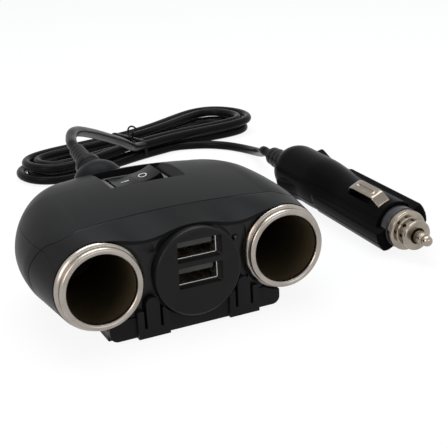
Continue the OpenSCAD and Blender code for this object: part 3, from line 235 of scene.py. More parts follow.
def swept(path, outline, across=(0.0, 0.0, 1.0)):
    """An outline (side, up) carried along a path on its two square vectors."""
    side, up = path_frames(path, across)
    o = np.asarray(outline, float)
    return path[:, None] + o[None, :, :1] * side[:, None] + o[None, :, 1:] * up[:, None]


def slab(outline, low, high, edge=0.2, steps=4):
    """An outline carried from low to high whose rims are quarter circles of radius edge:
    inset edge (1 - sin a), height low + edge (1 - cos a), and the same at the top."""
    a = np.linspace(0, np.pi / 2, steps)
    inset = edge * (1 - np.sin(a))
    rise = edge * (1 - np.cos(a))
    rows = [*zip(inset, low + rise), *zip(inset[::-1], high - rise[::-1])]
    return layers(2, *[(drawn_in(outline, i), z) for i, z in rows])


# Meshes


def new_object(name, data):
    """An object at the origin, linked to the scene."""
    made = bpy.data.objects.new(name, data)
    bpy.context.scene.collection.objects.link(made)
    return made


def grid_faces(rows, cols, close_rows=False, close_cols=True):
    """Quads between neighbouring points of a grid that may run round in either direction."""
    r, c = np.meshgrid(np.arange(rows - (not close_rows)), np.arange(cols - (not close_cols)),
                       indexing="ij")
    ahead, beside = (r + 1) % rows, (c + 1) % cols
    corners = (r * cols + c, r * cols + beside, ahead * cols + beside, ahead * cols + c)
    return np.stack(corners, -1).reshape(-1, 4)


def grid_piece(name, grid, material, close_rows=False, close_cols=True, caps=True):
    """A mesh object from a grid of points in millimetres (rows, columns, 3). Open row ends are
    capped with one face each, doubles are merged and faces turned outwards."""
    rows, cols = grid.shape[:2]
    faces = grid_faces(rows, cols, close_rows, close_cols).tolist()
    if caps and not close_rows:
        faces += [list(range(cols)), list(range((rows - 1) * cols, rows * cols))]
    mesh = bpy.data.meshes.new(name)
    mesh.from_pydata((grid.reshape(-1, 3) * MM).tolist(), [], faces)
    tidy(mesh)
    piece = new_object(name, mesh)
    mesh.materials.append(material)
    shade(mesh)
    return piece


def tidy(mesh, flatten=False):
    """Merges doubles and turns the faces of a closed mesh outwards; flatten joins coplanar faces."""
    bm = bmesh.new()
    bm.from_mesh(mesh)
    bmesh.ops.remove_doubles(bm, verts=bm.verts, dist=2e-7)
    bmesh.ops.dissolve_degenerate(bm, edges=bm.edges, dist=1e-8)
    if flatten:
        bmesh.ops.dissolve_limit(bm, angle_limit=np.radians(0.6), verts=bm.verts, edges=bm.edges)
    bmesh.ops.recalc_face_normals(bm, faces=bm.faces)
    if bm.calc_volume(signed=True) < 0:
        bmesh.ops.reverse_faces(bm, faces=bm.faces)
    bm.to_mesh(mesh)
    bm.free()


def shade(mesh, angle=32):
    """Smooth shading, with edges steeper than angle kept sharp."""
    mesh.polygons.foreach_set("use_smooth", np.ones(len(mesh.polygons), bool))
    mesh.set_sharp_from_angle(angle=np.radians(angle))
    mesh.update()


def bake(piece, kind, **settings):
    """Puts a modifier on a piece and its result into the piece's mesh."""
    step = piece.modifiers.new(kind.lower(), kind)
    for label, value in settings.items():
        setattr(step, label, value)
    view = bpy.context.evaluated_depsgraph_get()
    mesh = bpy.data.meshes.new_from_object(piece.evaluated_get(view), preserve_all_data_layers=True,
                                           depsgraph=view)
    piece.modifiers.clear()
    piece.data = mesh


def carve(piece, tool, operation="DIFFERENCE"):
    """Cuts, joins or crosses a piece with a tool, a piece or a closed grid, which is then removed."""
    if isinstance(tool, np.ndarray):
        tool = grid_piece("tool", tool, piece.data.materials[0])
    bake(piece, "BOOLEAN", operation=operation, solver="EXACT", object=tool)
    bpy.data.objects.remove(tool)


def soften(piece, width):
    """Rounds the edges of a piece that are steeper than 38 degrees."""
    bake(piece, "BEVEL", width=width * MM, segments=2, limit_method="ANGLE",
         angle_limit=np.radians(38), use_clamp_overlap=True)
    shade(piece.data, 40)


def softened_copy(node, name, look, width):
    """A merged copy of a solid's mesh with its edges rounded."""
    mesh = NODES[node].data.copy()
    mesh.materials.clear()
    tidy(mesh, flatten=True)
    piece = new_object(name, mesh)
    mesh.materials.append(finish(look))
    soften(piece, width)
    return piece


def mount(piece, body, slot, *nodes):
    """Rides the piece on its body and hides the solids that it stands for. The slot is not used."""
    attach(piece, body)
    if nodes:
        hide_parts(*nodes)


def place_grid(name, grid, look, body, slot, *nodes, **shape):
    """Makes a piece from a grid with its finish, and mounts it."""
    mount(grid_piece(name, grid, finish(look), **shape), body, slot, *nodes)


def dress(look, *nodes):
    """Gives carried-over solids a finish."""
    for node in nodes:
        mesh = NODES[node].data
        mesh.materials.clear()
        mesh.materials.append(finish(look))


# Nodes and effects


def feed(tree, node, inputs):
    """Sets a node's inputs: a socket is joined to one, and anything else is its value."""
    for label, value in inputs.items():
        if isinstance(value, bpy.types.NodeSocket):
            tree.links.new(value, node.inputs[label])
        else:
            node.inputs[label].default_value = value


def add_node(tree, kind, inputs=None, **settings):
    """A shader node with its settings and inputs."""
    node = tree.nodes.new("ShaderNode" + kind)
    for label, value in settings.items():
        setattr(node, label, value)
    feed(tree, node, inputs or {})
    return node


def math_node(tree, operation, a, b):
    """The result of a Math node on two sockets or numbers."""
    return add_node(tree, "Math", {0: a, 1: b}, operation=operation).outputs[0]


def noise(tree, vector, scale, detail, roughness=0.5):
    """The value of a Noise Texture node."""
    inputs = {"Vector": vector, "Scale": scale, "Detail": detail, "Roughness": roughness}
    return add_node(tree, "TexNoise", inputs).outputs["Fac"]


def blend_colours(tree, share, first, second):
    """Two colours mixed, with share of the second."""
    inputs = {"Factor": share, "A": first, "B": second}
    return add_node(tree, "Mix", inputs, data_type="RGBA").outputs["Result"]


def spread_out(tree, value, low, high):
    """Takes low..high of a value to 0..1, clamped."""
    inputs = {"Value": value, "From Min": low, "From Max": high}
    return add_node(tree, "MapRange", inputs).outputs["Result"]


def new_group(name, *extra):
    """A node group for one effect, with the inputs that every effect has and the extra ones, and
    the sockets of its input node."""
    group = bpy.data.node_groups.new(name, "ShaderNodeTree")
    inputs = [("Vector", "Vector", None), ("Tone", "Color", None), ("Worn tone", "Color", None),
              ("Gloss", "Float", 0.3), ("Gloss shift", "Float", 0.1), *extra]
    for label, kind, value in inputs:
        socket = group.interface.new_socket(label, in_out="INPUT", socket_type="NodeSocket" + kind)
        if value is not None:
            socket.default_value = value
    for label, kind in (("Colour", "Color"), ("Roughness", "Float"), ("Height", "Float")):
        group.interface.new_socket(label, in_out="OUTPUT", socket_type="NodeSocket" + kind)
    return group, group.nodes.new("NodeGroupInput").outputs


def end_group(group, start, worn, lift, middle, height):
    """Joins the group's outputs: the two tones mixed by the worn share, the gloss plus its shift
    times (lift - middle), and the height."""
    shift = math_node(group, "MULTIPLY", math_node(group, "SUBTRACT", lift, middle), start["Gloss shift"])
    feed(group, group.nodes.new("NodeGroupOutput"), {
        "Colour": blend_colours(group, worn, start["Tone"], start["Worn tone"]),
        "Roughness": math_node(group, "ADD", start["Gloss"], shift),
        "Height": height})


@cache
def grain_group():
    """Moulded grain: fine sparked height, with cloudy shifts of tone and gloss."""
    group, start = new_group("Moulded grain", ("Grain", "Float", 2600.0))
    place = start["Vector"]
    spark = noise(group, place, start["Grain"], 3, 0.6)
    cloud = spread_out(group, noise(group, place, 38.0, 5, 0.62), 0.32, 0.72)
    fleck = spread_out(group, noise(group, place, 900.0, 2, 0.5), 0.62, 0.8)
    worn = math_node(group, "MAXIMUM", math_node(group, "MULTIPLY", cloud, 0.75), fleck)
    end_group(group, start, worn, cloud, 0.5, spark)
    return group


@cache
def plating_group():
    """Plated metal: warm haze in clouds, fine polishing streaks and small pits."""
    group, start = new_group("Plating")
    place = start["Vector"]
    stretch = add_node(group, "Mapping", {"Vector": place, "Scale": (1.0, 9.0, 1.0)})
    cloud = spread_out(group, noise(group, place, 160.0, 4, 0.55), 0.35, 0.7)
    streak = noise(group, stretch.outputs["Vector"], 420.0, 3, 0.6)
    pit = spread_out(group, noise(group, place, 1900.0, 2), 0.7, 0.86)
    haze = math_node(group, "MAXIMUM", math_node(group, "MULTIPLY", cloud, 0.8), pit)
    height = math_node(group, "SUBTRACT", streak, math_node(group, "MULTIPLY", pit, 0.5))
    end_group(group, start, haze, streak, 0.4, height)
    return group


# Finishes. A tone is a colour, or one of the add-on's colours with a factor. A worn tone may also
# be a multiple of the tone. Plastics: material, tone, worn tone, gloss, gloss shift, grain, bump
# height and specular level.
PLASTICS = {
    "shell": ("shell plastic", ("shell", 1.0), 1.5, 0.34, 0.08, 2600, 0.02, 0.03),
    "panel": ("panel plastic", ("panel", 1.0), 1.8, 0.34, 0.1, 2400, 0.03, 0.22),
    "disc": ("disc plastic", ("panel", 1.4), 1.5, 0.38, 0.1, 2800, 0.02, 0.11),
    "bracket": ("bracket plastic", ("panel", 1.3), 1.7, 0.36, 0.12, 2200, 0.03, 0.09),
    "gloss": ("glossy plastic", ("panel", 1.0), 1.6, 0.26, 0.06, 1500, 0.006, 0.06),
    "cord": ("cord jacket", ("cord", 1.0), 1.4, 0.27, 0.04, 1300, 0.004, 0.05),
    "relief": ("relief rubber", ("cord", 1.0), 1.5, 0.34, 0.08, 1700, 0.01, 0.08),
    "grip": ("grip plastic", ("panel", 0.32), 1.8, 0.26, 0.08, 2400, 0.02, 0.016),
    "neck": ("neck plastic", (0.012, 0.0125, 0.015), (0.02, 0.02, 0.023), 0.2, 0.05, 1500, 0.004, 0.3),
    "bezel": ("bezel plastic", (0.006, 0.006, 0.0065), (0.01, 0.01, 0.011), 0.16, 0.05, 1500, 0.004, 0.3),
    "liner": ("socket liner", (0.034, 0.026, 0.014), (0.05, 0.038, 0.021), 0.6, 0.1, 900, 0.02, 0.1),
    "insulator": ("insulator board", (0.016, 0.01, 0.006), (0.03, 0.018, 0.011), 0.7, 0.1, 700, 0.03, 0.15),
    "tongue": ("tongue plastic", (0.022, 0.022, 0.021), (0.07, 0.066, 0.06), 0.5, 0.1, 1500, 0.01, 0.3),
    "marking": ("white marking", (0.72, 0.72, 0.72), (0.6, 0.6, 0.6), 0.5, 0.08, 1800, 0.004, 0.3),
    "board": ("board laminate", (0.02, 0.1, 0.045), (0.03, 0.14, 0.06), 0.4, 0.1, 1200, 0.01, 0.4),
    "sleeve": ("capacitor sleeve", (0.02, 0.02, 0.06), (0.04, 0.04, 0.09), 0.3, 0.08, 900, 0.005, 0.45),
    "foam": ("pad foam", (0.42, 0.42, 0.4), (0.52, 0.52, 0.49), 0.85, 0.08, 1400, 0.06, 0.2),
    "wire": ("wire insulation", (0.25, 0.012, 0.012), (0.33, 0.03, 0.03), 0.4, 0.08, 1200, 0.01, 0.4),
    "lens": ("pilot lens", (0.01, 0.004, 0.004), (0.016, 0.006, 0.006), 0.16, 0.06, 900, 0.002, 0.4),
}
# Metals: material, tone, dulled tone, gloss and gloss shift
METALS = {
    "nickel": ("nickel rim", ("nickel", 1.0), ("haze", 1.0), 0.27, 0.16),
    "nose_nickel": ("nickel nose", ("nickel", (0.95, 0.9, 0.82)), ("haze", 0.75), 0.2, 0.12),
    "dull_nickel": ("dulled nickel", (0.25, 0.215, 0.18), (0.15, 0.125, 0.1), 0.38, 0.16),
    "strip": ("strip steel", ("strip", 1.0), ("haze", 1.0), 0.24, 0.16),
    "brass": ("contact brass", (0.5, 0.38, 0.2), (0.3, 0.22, 0.12), 0.35, 0.16),
    "steel": ("port steel", (0.72, 0.71, 0.68), (0.5, 0.48, 0.45), 0.24, 0.12),
    "zinc": ("screw zinc", (0.42, 0.42, 0.42), (0.26, 0.26, 0.26), 0.36, 0.16),
    "gold": ("pin gold", (0.9, 0.66, 0.28), (0.62, 0.45, 0.2), 0.25, 0.16),
    "copper": ("winding copper", (0.6, 0.26, 0.1), (0.4, 0.16, 0.06), 0.32, 0.16),
}
PLATING_HEIGHT = 0.01
BUMP = 0.6


def tone_of(value, tone=None):
    """The colour that a tone in the tables stands for."""
    if isinstance(value, float):
        return tone * value
    if isinstance(value[0], str):
        return np.array(getattr(bpy.context.scene.splitter_colours, value[0])) * value[1]
    return np.array(value)


def new_material(name):
    """A material, its tree, its Principled shader and the object coordinates in it."""
    material = bpy.data.materials.new(name)
    material.use_nodes = True
    tree = material.node_tree
    return material, tree, tree.nodes["Principled BSDF"], add_node(tree, "TexCoord").outputs["Object"]


@cache
def finish(look):
    """A finish, made when it is first asked for: a Principled shader fed by one effect group, whose
    height goes through a Bump node."""
    if look == "glass":
        return glass_finish()
    if look in PLASTICS:
        name, tone, worn, gloss, shift, grain, height, specular = PLASTICS[look]
        group, own, plain = grain_group(), {"Grain": grain}, {"Specular IOR Level": specular}
    else:
        name, tone, worn, gloss, shift = METALS[look]
        height = PLATING_HEIGHT
        group, own, plain = plating_group(), {}, {"Metallic": 1.0}
    tone = tone_of(tone)
    material, tree, shader, place = new_material(name)
    own |= {"Vector": place, "Tone": (*tone, 1), "Worn tone": (*tone_of(worn, tone), 1), "Gloss": gloss,
            "Gloss shift": shift}
    effect = add_node(tree, "Group", own, node_tree=group).outputs
    bump = add_node(tree, "Bump", {"Distance": height * MM, "Strength": BUMP, "Height": effect["Height"]})
    feed(tree, shader, plain | {"Base Color": effect["Colour"], "Roughness": effect["Roughness"],
                                "Normal": bump.outputs["Normal"]})
    return material


def glass_finish():
    """Clear glass with a faint cloudy tint."""
    material, tree, shader, place = new_material("fuse glass")
    tint = blend_colours(tree, noise(tree, place, 240.0, 2), (0.86, 0.93, 0.92, 1), (0.95, 0.98, 0.98, 1))
    feed(tree, shader, {"Base Color": tint, "Transmission Weight": 1.0, "Roughness": 0.04, "Metallic": 0.0})
    return material


# Housing


def taper(share):
    """A quarter of a superellipse: (1 - share^n)^(1/n)."""
    return np.maximum(0, 1 - np.abs(share) ** ROUNDNESS) ** (1 / ROUNDNESS)


def width_at(y):
    """Half width at a depth: a sine swell from the edge to the widest place, then a superellipse."""
    narrow = HALF_SPACING + FRONT_R
    swell = np.sin(np.pi / 2 * np.clip((y - EDGE_Y) / (WIDEST_Y - EDGE_Y), 0, 1))
    behind = taper(np.clip((y - WIDEST_Y) / (BACK_Y - WIDEST_Y), 0, 1))
    return np.where(y < WIDEST_Y, narrow + (HALF_W - narrow) * swell, HALF_W * behind)


def top_at(y):
    """Height of the hood at a depth: it sinks with power 1.7 to the crease and falls round behind."""
    peak = TOP_Z - CROWN
    ahead = peak - HOOD_SINK * (np.abs(HIGHEST_Y - y) / (HIGHEST_Y - CREASE_Y)) ** 1.7
    fall = np.clip((y - HIGHEST_Y) / (BACK_Y - HIGHEST_Y), 0, 1) ** 2.6
    behind = WAIST_Z + (peak - WAIST_Z) * np.sqrt(np.maximum(0, 1 - fall))
    return np.where(y < HIGHEST_Y, ahead, behind)


def belly_at(y):
    """Height of the belly at a depth: flat, then round at the back."""
    rise = np.clip((y - HIGHEST_Y) / (BACK_Y - HIGHEST_Y), 0, 1) ** 3
    return WAIST_Z - (WAIST_Z - BELLY_Z) * np.sqrt(np.maximum(0, 1 - rise))


# Steps of a loop round an end, over the top and under the belly
END, TOP, BELLY = 40, 96, 20


def section(w, flat, top, belly, crown, mid):
    """Sections of the housing as loops: a half ellipse at each end, a parabola of the crown's height
    on top and a flat belly. All sizes are columns, one row for each section."""
    a = np.radians(-90 + 180 * np.arange(END + 1) / END)[None, :]
    rise = np.where(a < 0, mid - belly, top - mid) * np.sin(a)
    right = np.stack([flat + (w - flat) * np.cos(a), mid + rise], -1)
    s = (1 - 2 * np.arange(1, TOP) / TOP)[None, :]
    over = np.stack([flat * s, top + crown * (1 - s * s)], -1)
    left = np.stack([-right[..., ::-1, 0], right[..., ::-1, 1]], -1)
    s = (2 * np.arange(1, BELLY) / BELLY - 1)[None, :]
    under = np.stack([flat * s, belly + 0 * s], -1)
    return np.concatenate([right, over, left, under], 1)


def end_turn():
    """How far round an end each point of a loop lies: 0 on top, 1 level with the waist, 2 below."""
    down = 2 - 2 * np.arange(END + 1) / END
    return np.concatenate([down, np.zeros(TOP - 1), down[::-1], np.full(BELLY - 1, 2.0)])


def crease_shift(t):
    """The crease dips forward over the shoulder and falls back down the end."""
    return 6.5 * np.minimum(1, t * t) + 2 * np.maximum(0, t - 1) - 3.4 * np.exp(-((t - 0.28) / 0.16) ** 2)


def front_loop(inset):
    """The front edge: two half circles round the sockets and a scalloped top between."""
    r = FRONT_R - inset
    sizes = [np.array([[v]]) for v in (HALF_SPACING + r, HALF_SPACING, AXIS_Z + r, AXIS_Z - r)]
    loop = section(*sizes, 0, AXIS_Z)[0]
    between = (loop[:, 1] > AXIS_Z + r - 0.05) & (np.abs(loop[:, 0]) < HALF_SPACING)
    dip = 2.2 * (0.5 - 0.5 * np.cos(TURN * loop[:, 0] / HALF_SPACING)) ** 1.2
    loop[:, 1] = np.where(between, AXIS_Z + FRONT_R - dip - inset, loop[:, 1])
    return loop


def hull_rows(inset, rim_inset, lead_in, groove=0.0):
    """Loops of the housing's skin from the front edge to the back. From the edge to the crease they
    run straight. Behind it each loop's depth is y plus a share of the crease's shift that fades out
    over four steps. A groove of that depth runs along the crease."""
    t = end_turn()
    front = front_loop(rim_inset)
    front_y = EDGE_Y - lead_in + 1.2 * np.sin(np.pi / 2 * np.minimum(1, t))
    edge = np.stack([front[:, 0], front_y, front[:, 1]], -1)

    def behind(share):
        """Depths behind the widest place, closer together towards the back."""
        return WIDEST_Y + (BACK_Y - WIDEST_Y) * np.sin(np.pi / 2 * share) ** (2 / ROUNDNESS)

    stops = np.concatenate([[CREASE_Y, CREASE_Y + 4.5], behind(np.array([0, 0.16, 0.3]))])
    ys = np.concatenate([CREASE_Y + np.linspace(0, WIDEST_Y - CREASE_Y, 14)[:-1],
                         behind(np.linspace(0, 0.992, 62))])
    ys = np.minimum(ys, BACK_Y - inset)[:, None]
    fade = np.interp(ys, stops, [1, 0.75, 0.5, 0.25, 0])
    w = width_at(ys) - inset
    flat = np.maximum(1, np.minimum(HALF_SPACING, w - FRONT_R))
    loop = section(w, flat, top_at(ys) - inset, belly_at(ys) + inset, CROWN, WAIST_Z)
    rear = np.stack([loop[..., 0], ys + fade * crease_shift(t)[None, :], loop[..., 1]], -1)
    brow = edge + np.linspace(0, 1, 11)[:-1, None, None] * (rear[0] - edge)
    if not groove:
        return np.concatenate([brow, rear])
    lip = rear[0] - 0.28 * unit(rear[0] - edge)
    foot = rear[0] + groove * unit(([0, 0, WAIST_Z] - rear[0]) * [1, 0, 1])
    rise = rear[0] + 0.12 * unit(rear[1] - rear[0])
    return np.concatenate([brow, [lip, foot, rise], rear[1:]])


def seam_block(drop, upper):
    """Everything above or below the parting line, which drops near the front."""
    ahead, back, far = LIP_Y - 8, BACK_Y + 20, 60.0 if upper else -20.0
    line = [[ahead, SEAM_Z - 3], [LIP_Y + 4, SEAM_Z - 3], [LIP_Y + 14, SEAM_Z], [back, SEAM_Z]]
    outline = np.concatenate([line - np.array([0, drop]), [[back, far], [ahead, far]]])
    return layers(0, (outline, -60.0), (outline, 60.0))


POCKET_X = (-13.0, 9.8)
POCKET_Y = (13.0, 32.8)
SWITCH_BLOCK = box((-15, 11, 31.2), (16.3, 34.8, 38))
SWITCH_HOLE = box((-10.8, 16.5, 28), (8.4, 29.3, 33.7))
PANEL_NOTCH = box((-28.3, -24, -1), (28.3, -18.2, 7.3))
HUMP_PLACE = (-8, 40, 30.3)
HUMP_RADII = (9.0, 8.4, 8.2)
BOSS_LEN = 11.0
WALL, RIM_WALL, LEAD_IN = 2.0, 1.2, 0.5
CREASE_GROOVE = 0.22
SEAM_GAP = 0.05
AHEAD_Y = -24
RIM_HOLE_R, RIM_HOLE_END_Y = 13.65, -18.95
DISC_HOLE_R, DISC_HOLE_END_Y = 13.85, -19.75


def pocket():
    """The pocket of the switch, with a scooped ramp at its right end."""
    (x0, x1), z = POCKET_X, SWITCH[2]
    corners = [[x0, z], [x1, z], [x1, BEZEL_Z], [x1 + 4.5, 37.7], [x1 + 5.2, 44], [x0, 44]]
    outline = rounded(corners, [0.5, 0.5, 0.8, 1.0, 0.1, 0.1], 6)
    return layers(1, *[(outline, y) for y in POCKET_Y])


def boss():
    """The stub that the sleeve stands on: circles along its line, with their radii from a table."""
    run = np.linspace(0, BOSS_LEN, 12)
    swell = np.interp(run, [0, 8, 10.4, BOSS_LEN], [3.7, 4.1, 4.3, 4.0])[:, None, None]
    path = RELIEF_START + (run - BOSS_LEN)[:, None] * RELIEF_DIR
    return path[:, None] + swell * (swept(path, circle(1.0, 64)) - path[:, None])


def hump():
    """A low rise of the hood behind the switch: a sphere with its own radius along each axis."""
    a = np.linspace(-1.57, 1.57, 32)
    return turned(np.stack([np.cos(a), np.sin(a)], -1), 64) * HUMP_RADII + HUMP_PLACE


def build_housing():
    """The hood and the tray: the same skin, hollowed and parted at the seam."""
    halves = ((True, "housing_hood", "housing_top"), (False, "housing_tray", "housing_bottom"))
    for upper, name, node in halves:
        shell = grid_piece(name, hull_rows(0.0, 0.0, 0.0, CREASE_GROOVE), finish("shell"))
        carve(shell, hull_rows(WALL, RIM_WALL, LEAD_IN))
        carve(shell, seam_block(-SEAM_GAP if upper else SEAM_GAP, not upper))
        if upper:
            block = grid_piece("tool", SWITCH_BLOCK, finish("shell"))
            carve(block, hull_rows(0.6, 1.0, 0.0), "INTERSECT")
            for form in (block, boss(), hump()):
                carve(shell, form, "UNION")
            carve(shell, pocket())
            carve(shell, SWITCH_HOLE)
        else:
            carve(shell, PANEL_NOTCH)
        for x in (-HALF_SPACING, HALF_SPACING):
            carve(shell, turned([[RIM_HOLE_R, AHEAD_Y], [RIM_HOLE_R, RIM_HOLE_END_Y]], 96, x, AXIS_Z))
        carve(shell, turned([[DISC_HOLE_R, AHEAD_Y], [DISC_HOLE_R, DISC_HOLE_END_Y]], 96, 0, DISC_Z))
        shade(shell.data, 30)
        mount(shell, "housing", "housing_black", node)


# Front


def build_front(edge):
    """The front panel, the round disc with its two mouths, and the pilot lens."""
    mount(softened_copy("front_panel", "front_plate", "panel", 1.5 * edge), "housing", "panel_black",
          "front_panel")
    back = PANEL_BACK_Y + 1
    profile = rounded([[0, DISC_Y + 0.1], [DISC_R - 0.7, DISC_Y], [DISC_R, DISC_Y + 0.6], [DISC_R, PANEL_Y],
                       [BORE_R, PANEL_Y], [BORE_R, back], [0, back]],
                      [0.1, 0.35, 0.35, 0.05, 0.05, 0.05, 0.05], 7, closed=False)
    disc = grid_piece("port_disc", turned(profile, 144, 0, DISC_Z), finish("disc"), caps=False)
    for z in PORT_ZS:
        hole = rounded_rectangle(6.6, 2.91, 0.5) + [0, z]
        inner = rounded_rectangle(6.65, 2.95, 0.5) + [0, z]
        mouth = rounded_rectangle(7.1, 3.25, 0.3) + [0.45, z - 0.3]
        carve(disc, layers(1, (hole, DISC_Y - 1), (hole, PANEL_BACK_Y + 2)))
        carve(disc, layers(1, (mouth, DISC_Y - 0.5), (mouth, DISC_Y + 0.12), (inner, DISC_Y + 1.4)))
    soften(disc, 0.07)
    mount(disc, "housing", "disc_black", "usb_face")
    a = np.linspace(0, np.pi / 2, 9)
    dome = np.stack([LENS_R * np.sin(a), -19 - 0.7 * np.cos(a)], -1)
    dome = np.concatenate([dome, [[LENS_R, -15.4], [0, -15.4]]])
    place_grid("pilot_dome", turned(dome, 32, *LENS_PLACE), "lens", "housing", "lens_red", "pilot_lens",
               caps=False)


def build_ports():
    """The port shells: a tube whose rim is flat, in steps of inset and depth."""
    outer = rounded_rectangle(6.55, 2.86, 0.55)
    steps = [(0, PORT_BACK_Y), (0, PORT_Y + 0.1), (0.04, PORT_Y + 0.02), (0.08, PORT_Y), (0.26, PORT_Y),
             (0.32, PORT_Y + 0.04), (0.35, PORT_Y + 0.12), (0.35, PORT_BACK_Y)]
    for z, word in zip(PORT_ZS, ("lower", "upper")):
        rows = layers(1, *[(drawn_in(outer, inset) + [0, z], y) for inset, y in steps])
        place_grid(f"{word}_port_shell", rows, "steel", "housing", "port_steel", "usb_shells",
                   close_rows=True)
    dress("tongue", "usb_tongues")
    dress("gold", "usb_pins")
    dress("board", "circuit_board")
    dress("copper", "power_choke")
    dress("sleeve", "board_capacitors")


def build_sockets():
    """Each rim is a rolled lip, a step and a band, turned round the socket's axis; the bore is dark."""
    roll = (LIP_R - BORE_R) / 2
    a = np.linspace(0, 1.5 * np.pi, 34)
    lip = np.stack([BORE_R + roll - roll * np.cos(a), LIP_Y + roll - roll * np.sin(a)], -1)[:23]
    step_y, end_y, collar_r, liner_r = LIP_Y + LIP_LEN, LIP_Y + BAND_END, BARREL_R + 0.5, BARREL_R + 0.45
    band = rounded([[LIP_R - 0.1, LIP_Y + 1.5], [LIP_R - 0.35, step_y], [BAND_R - 0.75, step_y - 0.05],
                    [BAND_R, step_y + 0.7], [BAND_R, end_y], [collar_r, end_y]],
                   [0.1, 0.25, 0.35, 0.5, 0.15, 0.1], 6, closed=False)
    rim = np.concatenate([lip, band, [[collar_r, LIP_Y + 1.6], [BORE_R, LIP_Y + 1.6]]])
    tube = rounded([[BORE_R, LIP_Y + 1.65], [liner_r, LIP_Y + 1.65], [liner_r, end_y], [BARREL_R, end_y],
                    [BARREL_R, BARREL_BACK_Y], [BORE_R + 0.2, BARREL_BACK_Y], [BORE_R + 0.2, BORE_END_Y],
                    [BORE_R, BORE_END_Y]], 0.03, 3)
    for side, word in ((-1, "left"), (1, "right")):
        x, node = side * HALF_SPACING, f"socket_barrel_{word}"
        place_grid(f"{word}_socket_rim", turned(rim, 160, x, AXIS_Z), "nickel", "housing", "socket_nickel",
                   node, close_rows=True)
        place_grid(f"{word}_socket_bore", turned(tube, 96, x, AXIS_Z), "liner", "housing", "insulator_brown",
                   node, close_rows=True)
    dress("insulator", "socket_insulator_left", "socket_insulator_right")
    dress("brass", "socket_contact_left", "socket_contact_right", "rear_terminal")


# Switch


ROCKER_HALF, ROCKER_RISE, ROCKER_WIDTH = 7.7, 3.2, 5.3
RIDGE_DROP, DISH = 0.9, 0.5
PIVOT_R, PIVOT_HALF = 1.2, 6.3
MARK_X, MARK_LIFT, INK = 3.0, 0.06, 0.03


def rocker_height(x):
    """Height of the rocker over its pivot: two dished faces that meet in a low ridge."""
    u = np.abs(x) / ROCKER_HALF
    return ROCKER_RISE - RIDGE_DROP * (1 - u) - DISH * np.sin(np.pi * u)


def build_switch(throw):
    """The switch's frame and case, its rocker and the marks on it."""
    outer, hole = rounded_rectangle(10.5, 7.5, 1.0), rounded_rectangle(8.64, 5.6, 0.4)
    back = rounded_rectangle(9.5, 6.5, 0.5)
    frame = [(outer, 0, SWITCH[2] + 0.05), (outer, 0, BEZEL_Z - 0.6), (outer, 0.18, BEZEL_Z - 0.16),
             (outer, 0.6, BEZEL_Z), (hole, -0.35, BEZEL_Z), (hole, -0.08, BEZEL_Z - 0.1),
             (hole, 0, BEZEL_Z - 0.4), (hole, 0, SWITCH_FLOOR_Z)]
    case = [(hole, 0, SWITCH_FLOOR_Z), (back, 0, SWITCH_FLOOR_Z), (back, 0, SWITCH_BACK_Z)]
    for name, steps, look in (("switch_bezel", frame, "bezel"), ("switch_case", case, "gloss")):
        rows = layers(2, *[(drawn_in(outline, inset) + SWITCH[:2], z) for outline, inset, z in steps])
        place_grid(name, rows, look, "housing", "switch_black", "switch_body", caps=steps is case)
    # The rocker's ends lie on a circle about its pivot
    x = np.linspace(-ROCKER_HALF, ROCKER_HALF, 41)
    a = np.linspace(np.arctan2(ROCKER_RISE, ROCKER_HALF), -0.25, 8)[1:]
    right = np.hypot(ROCKER_HALF, ROCKER_RISE) * np.stack([np.cos(a), np.sin(a)], -1)
    outline = np.concatenate([np.stack([x, rocker_height(x)], -1), right, [[3, -4.5], [-3, -4.5]],
                              right[::-1] * [-1, 1]])
    tilt = turn_about("Y", -throw / 2)
    body = slab(outline, -ROCKER_WIDTH, ROCKER_WIDTH, 0.35, 5)[..., [0, 2, 1]] @ tilt.T + SWITCH
    pivot = turned([[PIVOT_R, -PIVOT_HALF], [PIVOT_R, PIVOT_HALF]], 32) + SWITCH
    for name, grid in (("rocker_cap", body), ("rocker_pivot", pivot)):
        place_grid(name, grid, "gloss", "rocker", "switch_black", "switch_rocker")

    def on_face(x, y):
        """Points just above the rocker's face."""
        return np.stack([x, y, rocker_height(x) + MARK_LIFT], -1) @ tilt.T + SWITCH

    a = np.linspace(0, TURN, 49)[:-1]
    ring = np.stack([on_face(MARK_X + 1.05 * r * np.cos(a), 1.3 * r * np.sin(a)) for r in (1.05, 1.35)])
    y, x = np.meshgrid(np.linspace(-0.22, 0.22, 3), np.linspace(-1.4, 1.4, 33), indexing="ij")
    for name, grid, closed in (("mark_open", ring, True), ("mark_closed", on_face(x - 3.3, y), False)):
        mark = grid_piece(name, grid, finish("marking"), close_cols=closed, caps=False)
        bake(mark, "SOLIDIFY", thickness=INK * MM, offset=0)
        tidy(mark.data)
        mount(mark, "rocker", "switch_black")
    dress("steel", "switch_terminals")


# Lead, bundle, tail and what is on them


LEAD_POINTS = [(-7.6, 71, 38.7), (-5, 78, 39), (-1.3, 85, 37.8), (3.1, 92, 35.6), (11.1, 104.5, 30.9),
               (18.5, 115, 26.4), (25.9, 125, 21.8), (33.3, 134, 17.2), (39.6, 142.4, 12.7), (44.8, 150, 9.3)]
TAIL_POINTS = [(72.6, 162.9, 2.3), (79.4, 161.4, 2.1), (86.2, 157.4, 2.1), (92, 151, 2.1), (95.6, 143.5, 2.2),
               (97, 135, 2.8), (96.2, 126, 4.2), (93.6, 117, 6.4), (90.6, 109, 9)]
LOOPS = 4
BUNDLE_HALF, BUNDLE_WAIST = 66.0, 12.5
RIGHT_END, LEFT_END = 84.0, 72.0
PITCH = 5.0
LOWER_Z, LAYER_RISE = 2.55, 4.7
STRAIGHT = 4


